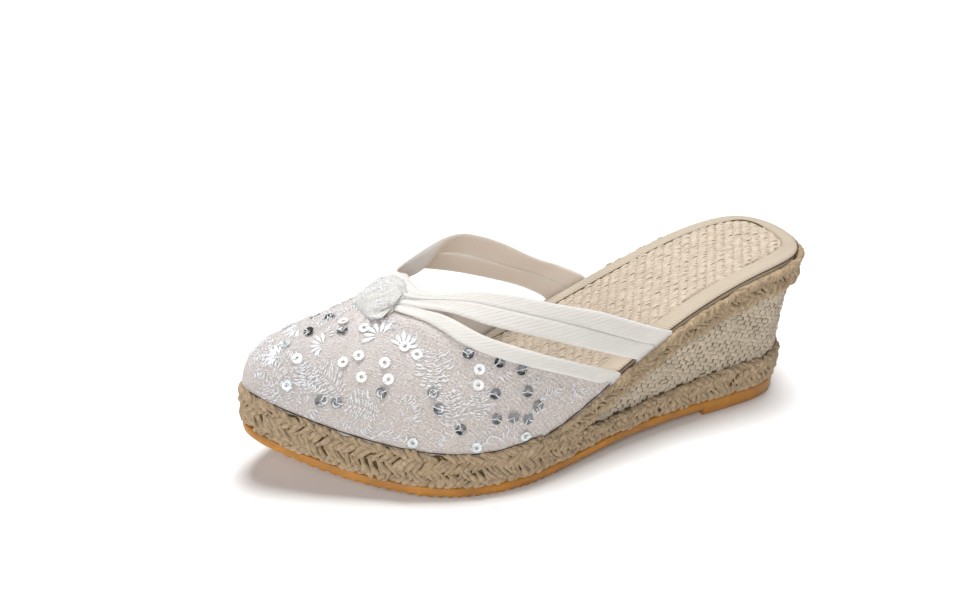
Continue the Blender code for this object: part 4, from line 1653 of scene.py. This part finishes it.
def spray(length, rng):
    """Short stitches that stand out like lashes along an arch."""
    stem = bent_line(length * np.array(SPRAY_STEM), LINE_STEPS)
    stitches = []
    for t in np.linspace(0.02, 0.98, int(length * 1.4)):
        foot = stem[int(t * (LINE_STEPS - 1))] + rng.normal(0, 0.25, 2)
        lean = math.radians(125 - 70 * t) + rng.normal(0, 0.18)
        blade = length * 0.26 * rng.uniform(0.6, 1.2)
        stitches.append(stitch(foot, foot + blade * np.array([math.cos(lean), math.sin(lean)])))
    return stitches, []


def vine(length, rng):
    """Wandering thread with a curl and a few small leaves."""
    stem = bent_line(length / 2 * np.array(VINE_STEM), LINE_STEPS)
    turns = np.linspace(0, 1.6 * math.pi, LINE_STEPS)
    spiral = np.stack([np.sin(turns), 1 - np.cos(turns)], axis=-1) * (1 - 0.25 * turns / math.pi)[:, None]
    stitches = []
    for t in np.linspace(0.08, 0.92, int(length * 0.7)):
        foot = stem[int(t * (LINE_STEPS - 1))]
        lean = rng.uniform(0.4, 1.2) * rng.choice([-1, 1])
        stitches.append(stitch(foot, foot + length * 0.15 * np.array([math.cos(lean), math.sin(lean)])))
    return stitches, [stem, stem[-1] + 0.14 * length * spiral]


MOTIF_MAKERS = {"fern": fern, "blossom": blossom, "spray": spray, "vine": vine}


def lay_paths(paths, motif, lift):
    """Lays a motif's flat paths on the lace and leaves out those that run off its edges."""
    _, _, steps = lace_frame(motif.share, motif.arc)
    turn = math.radians(motif.turn)
    spin = np.array([[math.cos(turn), math.sin(turn)], [-math.sin(turn), math.cos(turn)]])
    moved = np.asarray(paths) @ spin @ steps.T
    share, arc = motif.share + moved[..., 0], motif.arc + moved[..., 1]
    behind = share < tape_share("throat", np.clip(arc, 0, 2)) + 0.004
    outside = (share > 0.99) | (arc < 0.05) | (arc > 1.95)
    whole = ~(behind | outside).any(axis=1)
    share, arc = share[whole], arc[whole]
    raised = lift + STITCH_RISE * np.sin(np.linspace(0, math.pi, share.shape[1]))
    points = on_lace(share, arc, raised)
    return points, unit(on_lace(share, arc, raised + 1.0) - points)


def embroidery_piece(sizes, colours):
    """Fern, blossom, spray and vine motifs in satin thread over the vamp, with stray stitches round them."""
    rng = np.random.default_rng(SEED + 4)
    half = sizes.thread_width / MM / 2
    thread = satin_thread(colours)
    parts = []
    for motif in MOTIFS:
        stitches, lines = MOTIF_MAKERS[motif.kind](motif.size, rng)
        for paths, width in ((stitches, half), (lines, 0.7 * half), (flecks(motif.size, rng), 0.6 * half)):
            if not paths:
                continue
            points, normals = lay_paths(paths, motif, 0.05)
            if not len(points):
                continue
            taper = 0.35 + 0.65 * np.sin(math.pi * np.linspace(0.05, 0.95, points.shape[1]))[None, :]
            parts.append(strand_part(points, normals, width * taper, 0.75 * width * taper, thread, 5))
    add_piece("vamp_embroidery", parts)


SEQUIN_SEGMENTS = 20
SEQUIN_THREAD_STEPS = 9
SEQUIN_THREAD_SHARE = 0.42
SEQUIN_LIFT = 0.30
SEQUIN_TILT = 0.10

# Section of a sequin: share of its radius and height as a share of it
SEQUIN_SECTION = (
    (0.36, 0.06),
    (0.58, 0.03),
    (0.85, 0.06),
    (1.00, 0.13),
    (1.00, 0.08),
    (0.85, 0.00),
    (0.58, -0.03),
    (0.36, 0.00),
)


def sequin_parts(places, finish, thread, sizes, rng):
    """Cupped rings, each held by two stitches from its hole over its rim."""
    radius = sizes.sequin_diameter / MM / 2
    angle = FULL_TURN * np.arange(SEQUIN_SEGMENTS) / SEQUIN_SEGMENTS
    reach = np.linspace(0.15, 1.12, SEQUIN_THREAD_STEPS)[:, None]
    over = 0.16 * np.minimum(reach, 1.0) ** 2 + 0.05 - 0.8 * np.maximum(reach - 1.0, 0)
    discs, bars, bar_normals = [], [], []
    for spot in places:
        centre = on_lace(spot.share, spot.arc, SEQUIN_LIFT)
        first, second, normal = sequin_axes(spot, rng)
        ring = np.cos(angle)[:, None] * first + np.sin(angle)[:, None] * second
        discs.append([centre + radius * (out * ring + rise * normal) for out, rise in SEQUIN_SECTION])
        way = rng.uniform(0, FULL_TURN)
        for turn in (way, way + rng.uniform(1.4, math.pi)):
            bar = math.cos(turn) * first + math.sin(turn) * second
            bars.append(centre + radius * (reach * bar + over * normal))
            bar_normals.append(np.broadcast_to(normal, bars[-1].shape))
    half = SEQUIN_THREAD_SHARE * sizes.thread_width / MM
    stitches = strand_part(np.array(bars), np.array(bar_normals), half, half, thread, 5)
    return disc_part(np.array(discs), finish), stitches


def sequin_axes(spot, rng):
    """Two directions in a sequin's plane and its normal, a little askew to the lace."""
    toward, aside, _ = lace_frame(spot.share, spot.arc)
    tilt = rng.normal(0, SEQUIN_TILT, 2)
    normal = unit(np.cross(aside, toward) + tilt[0] * toward + tilt[1] * aside)
    first = unit(np.cross(normal, aside))
    return first, np.cross(normal, first), normal


def disc_part(discs, finish):
    """Part made of closed rings, in an array of copies, rows round the section and columns round the ring."""
    copies, rows, columns = discs.shape[:3]
    faces = repeat_faces(grid_faces(rows, columns, wrap=True, close=True), copies, rows * columns)
    return Part(discs.reshape(-1, 3), faces, discs[..., :2].reshape(-1, 2), finish)


def sequin_pieces(sizes, colours):
    """Pearl, mirror and clear sequins with their threads."""
    rng = np.random.default_rng(SEED + 5)
    thread = satin_thread(colours)
    kinds = (
        ("pearl_sequins", PEARL_SEQUINS, sequin_finish("pearl_film", tuple(colours.pearl), 0.0, 0.30)),
        # The silver film's grey base is a painted reflection of dark surroundings.
        ("silver_sequins", SILVER_SEQUINS, sequin_finish("silver_film", tuple(colours.silver), 0.9, 0.24)),
        ("clear_sequins", CLEAR_SEQUINS, sequin_finish("clear_film", tuple(colours.clear), 0.2, 0.15)),
    )
    for name, places, finish in kinds:
        add_piece(name, sequin_parts(places, finish, thread, sizes, rng))


TAPE_STATIONS = 241
TAPE_COLUMNS = 15
TAPE_GAP = -0.0006
TAPE_RUN = 75.0
TAPE_WIDTH = 7.0
TAPE_DROP = 3.2
TAPE_TUCK = 1.7
KNOT_REACH = 0.20
TWIST_ARC = 1.30
TWIST_REACH = 0.13
TWIST_NARROWING = 0.40

# How each tape lies: ripple's phase, its height over the form at the knot and its widening there to the rear
# and fore, and how far its fore edge turns down beyond the knot
TapeLook = namedtuple("TapeLook", "phase stack spread_rear spread_fore twist")
TAPES = (
    ("back_tape", "strap_back", "back", "split", TapeLook(0.4, 1.3, 0.005, 0.010, 6.5)),
    ("middle_tape", "strap_middle", "split", "middle", TapeLook(2.1, 0.8, 0.006, 0.012, 6.5)),
    ("front_tape", "strap_front", "front_rear", "front_fore", TapeLook(4.0, 0.0, 0.004, 0.0, 0.0)),
)


def tape_twill(name, colours):
    """Cotton twill of a tape."""
    return twill(name, tuple(colours.tape), 1.5, math.radians(30), 0.955, 0.12, THIN_CLOTH)


def tape_back(name, colours):
    """Plain underside of a tape."""
    maker = FinishMaker(name, {"Roughness": 0.85, "Specular IOR Level": 0.2, **THIN_CLOTH})
    weave = maker.noise(maker.on_surface(2.0, 2.0))
    maker.paint(maker.tones(weave, colours.tape_back, 0.94, 1.04))
    maker.bump(weave, strength=0.3, depth=0.12)
    return maker.material


def tape_piece(name, node, rear, fore, look, sizes, colours):
    """One cotton tape from sole edge to sole edge, tucked in behind the upper plait at its ends."""
    arcs = np.linspace(0, 2, TAPE_STATIONS)[:, None]
    across = np.linspace(-1, 1, TAPE_COLUMNS)[None, :]
    upper, lower = tape_surfaces(arcs, across, rear, fore, look, sizes)
    uv = np.stack(np.broadcast_arrays(arcs * TAPE_RUN, (across + 1) / 2 * TAPE_WIDTH), axis=-1)
    uv = np.concatenate([uv[:1], uv, uv[-1:]])
    drop = np.array([0, 0, TAPE_DROP])
    parts = []
    for surface, finish, flip in (
        (upper, tape_twill(name + "_twill", colours), False),
        (lower, tape_back(name + "_back", colours), True),
    ):
        surface = np.concatenate([surface[:1] - drop, surface, surface[-1:] - drop])
        parts.append(sheet_part(surface[None], uv[None], finish, flip))
    add_piece(name, parts, [node])


def tape_surfaces(arcs, across, rear, fore, look, sizes):
    """Upper and lower points of a tape: plump across, softly rippled along, gathered at the knot and turned
    on edge beyond it."""
    knot = np.exp(-(((arcs - 1) / KNOT_REACH) ** 2))
    twist = np.exp(-(((arcs - TWIST_ARC) / TWIST_REACH) ** 2)) * look.twist
    start = tape_share(rear, arcs) + TAPE_GAP - look.spread_rear * knot
    end = tape_share(fore, arcs) - TAPE_GAP + look.spread_fore * knot
    narrow = 1 - TWIST_NARROWING * np.minimum(twist / 5, 1)
    share = start + (end - start) * narrow * (across + 1) / 2
    thickness = sizes.tape_thickness / MM * (1 - 0.35 * knot)
    plump = np.sqrt(1 - across**6)
    welt = np.exp(-(((np.abs(across) - 0.62) / 0.14) ** 2))
    free = np.sin(math.pi * arcs / 2) ** 0.5
    middle = GAP + thickness / 2 + tape_lie(arcs, across, free, knot, look) - twist * (across + 1) / 2
    upper = foot_form(share, arcs, middle + thickness * (0.5 * plump + 0.07 * welt * free))
    return upper, foot_form(share, arcs, middle - thickness * 0.5 * plump)


def tape_lie(arcs, across, free, knot, look):
    """How far a tape stands off the foot's form: ripples, gathers at the knot and ends tucked in."""
    ripple = 0.16 * np.sin(9.0 * arcs + look.phase) + 0.10 * np.sin(23.0 * arcs + 2 * look.phase + across)
    gathers = 0.28 * knot * np.sin(7.0 * across + 3.0 * arcs + look.phase)
    tuck = TAPE_TUCK * (1 - smooth_step(np.minimum(arcs, 2 - arcs) / 0.10))
    return ripple * free + look.stack * knot + gathers - tuck


def tape_pieces(sizes, colours):
    """The three cotton tapes."""
    for name, node, rear, fore, look in TAPES:
        tape_piece(name, node, rear, fore, look, sizes, colours)


LOOP_TURNS = 160
LOOP_COLUMNS = 49
LOOP_FORE = 9.4
LOOP_REAR = 11.0
LOOP_PUFF = 4.7
LOOP_SHIFT = np.array([2.0, 0.0, -0.5])
LOOP_NOSE = 0.35
LOOP_SWELL = 6.0
LOOP_STITCHES = 130
LOOP_STITCH_REACH = 0.10


def loop_surface(turn, side, lift):
    """Points on the gathered loop, by angle round its slot and place across it from -1 to 1."""
    turn, side, lift = np.broadcast_arrays(turn, side, lift)
    centre = foot_form(LOOP_SHARE, 1.0, GAP + 0.6) + LOOP_SHIFT
    along = np.array([0.0, -math.cos(LOOP_SLOPE), -math.sin(LOOP_SLOPE)])
    upward = np.array([0.0, -math.sin(LOOP_SLOPE), math.cos(LOOP_SLOPE)])
    run, climb = np.cos(turn), np.sin(turn)
    slot_run, slot_climb = loop_slot(run, climb, side)
    reach = np.where(run > 0, LOOP_FORE, LOOP_REAR)
    nose = 1 - LOOP_NOSE * np.maximum(run, 0) ** 2
    depth = np.where(climb > 0, LOOP_PUFF, LOOP_UNDERSIDE) * nose
    out = loop_fullness(turn, side) + lift / LOOP_SWELL
    flat_run = slot_run + (reach * run - slot_run) * out
    flat_climb = slot_climb + (depth * climb - slot_climb) * out
    flare = 1 - 0.08 * np.maximum(-run, 0) + 0.15 * np.maximum(run, 0) ** 2
    across = side * LOOP_HALF_WIDTH * flare * (1 + 0.07 * np.sin(4 * turn + 1.0) + 0.05 * np.sin(7 * turn))
    steps = across[..., None] * np.array([1.0, 0, 0]) + flat_run[..., None] * along
    return centre + steps + flat_climb[..., None] * upward


def loop_slot(run, climb, side):
    """Outline of the squarish slot that the tapes pass through, along the ridge and upward."""
    square = (np.abs(run) ** LOOP_SQUARENESS + np.abs(climb) ** LOOP_SQUARENESS) ** (-1 / LOOP_SQUARENESS)
    rounded = 1 - 0.5 * np.where(run > 0, side**2, 0)
    return LOOP_SLOT[0] * run * square * rounded, LOOP_SLOT[1] * climb * square


def loop_fullness(turn, side):
    """How far the cloth swells out from the slot: 0 at the loop's sides and about 1 on its folds."""
    dome = np.maximum(1 - np.abs(side) ** 2.2, 0) ** 0.6
    lumps = 0.16 * np.sin(2 * turn + 0.8) * np.cos(3.2 * side + 1.1) + 0.14 * np.sin(3 * turn - 2.4 * side)
    return dome * (0.70 + 0.50 * crumple(turn, side) + lumps)


def crumple(turn, side):
    """Irregular folds with sharp creases between them, from 0 in the creases to about 1."""
    rng = np.random.default_rng(SEED + 7)
    folds = 0.0
    for count, share in ((2.6, 0.30), (4.2, 0.25), (6.5, 0.20), (9.5, 0.15), (14.0, 0.10)):
        lean = rng.uniform(-1.0, 1.0)
        bend = np.sin(turn + rng.uniform(0, FULL_TURN)) + 0.4 * np.sin(2 * turn + rng.uniform(0, FULL_TURN))
        wave = count * (side * math.cos(lean) + bend * math.sin(lean)) + rng.uniform(0, FULL_TURN)
        folds = folds + share * np.abs(np.sin(wave))
    return np.clip((folds - 0.30) / 0.55, 0, 1.2)


def loop_piece(sizes, colours):
    """Gathered lace loop round the tapes, closed at both sides, with stitches over its folds."""
    turn = np.linspace(0, FULL_TURN, LOOP_TURNS)[:, None]
    side = np.sin(np.linspace(-math.pi / 2, math.pi / 2, LOOP_COLUMNS))[None, :]
    outside = closed_sides(loop_surface(turn, side, 0.0))
    uv = np.stack(np.broadcast_arrays(turn * 8.0, np.pad(side, ((0, 0), (1, 1)), "edge") * 14.0), axis=-1)
    # The darker tint serves the lace's mottling and its painted shade.
    cloth = sheer_lace("gathered_lace", tinted(colours.tape, 1.02), tinted(colours.tape, 0.90))
    parts = [sheet_part(outside[None], uv[None], cloth), loop_stitches(sizes, colours)]
    add_piece("gathered_loop", parts, ["lace_loop"])


def closed_sides(surface):
    """Rings of points of a tube, with its open sides drawn together at their middles."""
    middles = np.broadcast_to(surface.mean(axis=0, keepdims=True), surface.shape)
    return np.concatenate([middles[:, :1], surface, middles[:, -1:]], axis=1)


def loop_stitches(sizes, colours):
    """Stray stitches over the loop's folds."""
    rng = np.random.default_rng(SEED + 6)
    turn = rng.uniform(0, FULL_TURN, (LOOP_STITCHES, 1))
    side = rng.uniform(-0.85, 0.85, (LOOP_STITCHES, 1))
    lean = rng.uniform(0, FULL_TURN, (LOOP_STITCHES, 1))
    step = np.linspace(-1, 1, STITCH_STEPS)[None, :]
    turn = turn + LOOP_STITCH_REACH * np.cos(lean) * step
    side = np.clip(side + LOOP_STITCH_REACH * np.sin(lean) * step, -0.97, 0.97)
    paths = loop_surface(turn, side, 0.12)
    normals = unit(loop_surface(turn, side, 1.0) - paths)
    half = sizes.thread_width / MM / 2
    return strand_part(paths, normals, half, 0.75 * half, satin_thread(colours), 5)


# Softboxes, with their places and sizes in metres and power in watts, and the rest of the studio
Lamp = namedtuple("Lamp", "name place target size power")
LAMPS = (
    Lamp("overhead_softbox", (-1.35, 1.14, 7.05), (0.0, 0.0, 0.0), 3.90, 621.0),
    Lamp("front_softbox", (5.40, -4.65, 3.90), (0.0, -0.02, 0.03), 6.00, 387.0),
    Lamp("toe_softbox", (-1.80, -6.30, 2.25), (0.0, -0.05, 0.05), 3.00, 100.0),
)
WORLD_BRIGHTNESS = 0.05
FLOOR_HALF = 12.0


def aim(item, place_at, target):
    """Puts an item in a place and turns it to a target."""
    item.location = place_at
    item.rotation_euler = (Vector(target) - Vector(place_at)).to_track_quat("-Z", "Y").to_euler()


def stage_pieces():
    """Pale floor, soft lights, white surroundings and the photograph's camera."""
    scene = bpy.context.scene
    lay_floor(scene)
    for lamp in LAMPS:
        hang_lamp(scene, lamp)
    world = bpy.data.worlds.new("studio_white")
    world.use_nodes = True
    background = world.node_tree.nodes["Background"]
    background.inputs["Color"].default_value = (1.0, 1.0, 1.0, 1.0)
    background.inputs["Strength"].default_value = WORLD_BRIGHTNESS
    scene.world = world
    set_camera(scene)
    scene.view_settings.view_transform = "Standard"


def lay_floor(scene):
    """Square floor under the shoe."""
    mesh = bpy.data.meshes.new("studio_floor")
    corners = ((-1, -1), (1, -1), (1, 1), (-1, 1))
    mesh.from_pydata([(x * FLOOR_HALF, y * FLOOR_HALF, 0.0) for x, y in corners], [], [(0, 1, 2, 3)])
    mesh.materials.append(studio_floor())
    floor = bpy.data.objects.new("studio_floor", mesh)
    scene.collection.objects.link(floor)


def hang_lamp(scene, lamp):
    """One round softbox."""
    light = bpy.data.lights.new(lamp.name, "AREA")
    light.shape = "DISK"
    light.size = lamp.size
    light.energy = lamp.power
    item = bpy.data.objects.new(lamp.name, light)
    scene.collection.objects.link(item)
    aim(item, lamp.place, lamp.target)


def set_camera(scene):
    """Camera that sees the shoe as the photograph does."""
    camera = bpy.data.cameras.new("photo_camera")
    camera.lens = CAMERA_LENS
    camera.sensor_width = CAMERA_SENSOR
    view = bpy.data.objects.new("photo_camera", camera)
    scene.collection.objects.link(view)
    aim(view, [v * MM for v in CAMERA_PLACE], [v * MM for v in CAMERA_TARGET])
    scene.camera = view


class MULE_OT_stage(bpy.types.Operator):
    """Sets up the floor, the lights and the camera"""

    bl_idname = "mule.stage"
    bl_label = "Stage"

    def execute(self, context):
        stage_pieces()
        return {"FINISHED"}


class MULE_OT_outsole(bpy.types.Operator):
    """Builds the grooved gum-rubber outsole"""

    bl_idname = "mule.outsole"
    bl_label = "Outsole"

    def execute(self, context):
        outsole_piece(context.scene.mule_sizes, context.scene.mule_colours)
        return {"FINISHED"}


class MULE_OT_wedge(bpy.types.Operator):
    """Builds the cloth-covered wedge"""

    bl_idname = "mule.wedge"
    bl_label = "Wedge"

    def execute(self, context):
        wedge_pieces(context.scene.mule_sizes, context.scene.mule_colours)
        return {"FINISHED"}


class MULE_OT_braids(bpy.types.Operator):
    """Plaits both jute bands"""

    bl_idname = "mule.braids"
    bl_label = "Jute plaits"

    def execute(self, context):
        braid_pieces(context.scene.mule_sizes, context.scene.mule_colours)
        return {"FINISHED"}


class MULE_OT_footbed(bpy.types.Operator):
    """Weaves the straw footbed and binds its edge"""

    bl_idname = "mule.footbed"
    bl_label = "Footbed"

    def execute(self, context):
        footbed_pieces(context.scene.mule_sizes, context.scene.mule_colours)
        return {"FINISHED"}


class MULE_OT_vamp(bpy.types.Operator):
    """Builds the creased lace vamp with its lining"""

    bl_idname = "mule.vamp"
    bl_label = "Vamp"

    def execute(self, context):
        vamp_piece(context.scene.mule_colours)
        return {"FINISHED"}


class MULE_OT_embroidery(bpy.types.Operator):
    """Embroiders the vamp"""

    bl_idname = "mule.embroidery"
    bl_label = "Embroidery"

    def execute(self, context):
        embroidery_piece(context.scene.mule_sizes, context.scene.mule_colours)
        return {"FINISHED"}


class MULE_OT_sequins(bpy.types.Operator):
    """Sews the sequins on the vamp"""

    bl_idname = "mule.sequins"
    bl_label = "Sequins"

    def execute(self, context):
        sequin_pieces(context.scene.mule_sizes, context.scene.mule_colours)
        return {"FINISHED"}


class MULE_OT_tapes(bpy.types.Operator):
    """Lays the three cotton tapes"""

    bl_idname = "mule.tapes"
    bl_label = "Tapes"

    def execute(self, context):
        tape_pieces(context.scene.mule_sizes, context.scene.mule_colours)
        return {"FINISHED"}


class MULE_OT_loop(bpy.types.Operator):
    """Gathers the lace loop round the tapes"""

    bl_idname = "mule.loop"
    bl_label = "Gathered loop"

    def execute(self, context):
        loop_piece(context.scene.mule_sizes, context.scene.mule_colours)
        return {"FINISHED"}


OPERATORS = (
    MULE_OT_stage,
    MULE_OT_outsole,
    MULE_OT_wedge,
    MULE_OT_braids,
    MULE_OT_footbed,
    MULE_OT_vamp,
    MULE_OT_embroidery,
    MULE_OT_sequins,
    MULE_OT_tapes,
    MULE_OT_loop,
)


class MULE_PT_builder(bpy.types.Panel):
    """Lists the shoe's pieces and their sizes and colours"""

    bl_label = "Wedge Mule"
    bl_idname = "MULE_PT_builder"
    bl_space_type = "VIEW_3D"
    bl_region_type = "UI"
    bl_category = "Mule"

    def draw(self, context):
        for operator in OPERATORS:
            self.layout.operator(operator.bl_idname)
        for group in (context.scene.mule_sizes, context.scene.mule_colours):
            box = self.layout.box()
            for name in group.__annotations__:
                box.prop(group, name)


CLASSES = (MuleSizes, MuleColours, *OPERATORS, MULE_PT_builder)


def register():
    """Registers the add-on's classes and hangs its sizes and colours on the scene."""
    for entry in CLASSES:
        bpy.utils.register_class(entry)
    bpy.types.Scene.mule_sizes = bpy.props.PointerProperty(type=MuleSizes)
    bpy.types.Scene.mule_colours = bpy.props.PointerProperty(type=MuleColours)


def unregister():
    """Takes back what register did."""
    del bpy.types.Scene.mule_colours
    del bpy.types.Scene.mule_sizes
    for entry in reversed(CLASSES):
        bpy.utils.unregister_class(entry)


def main():
    """Builds every piece in order."""
    register()
    for operator in OPERATORS:
        family, name = operator.bl_idname.split(".")
        getattr(getattr(bpy.ops, family), name)()


if __name__ == "__main__":
    main()
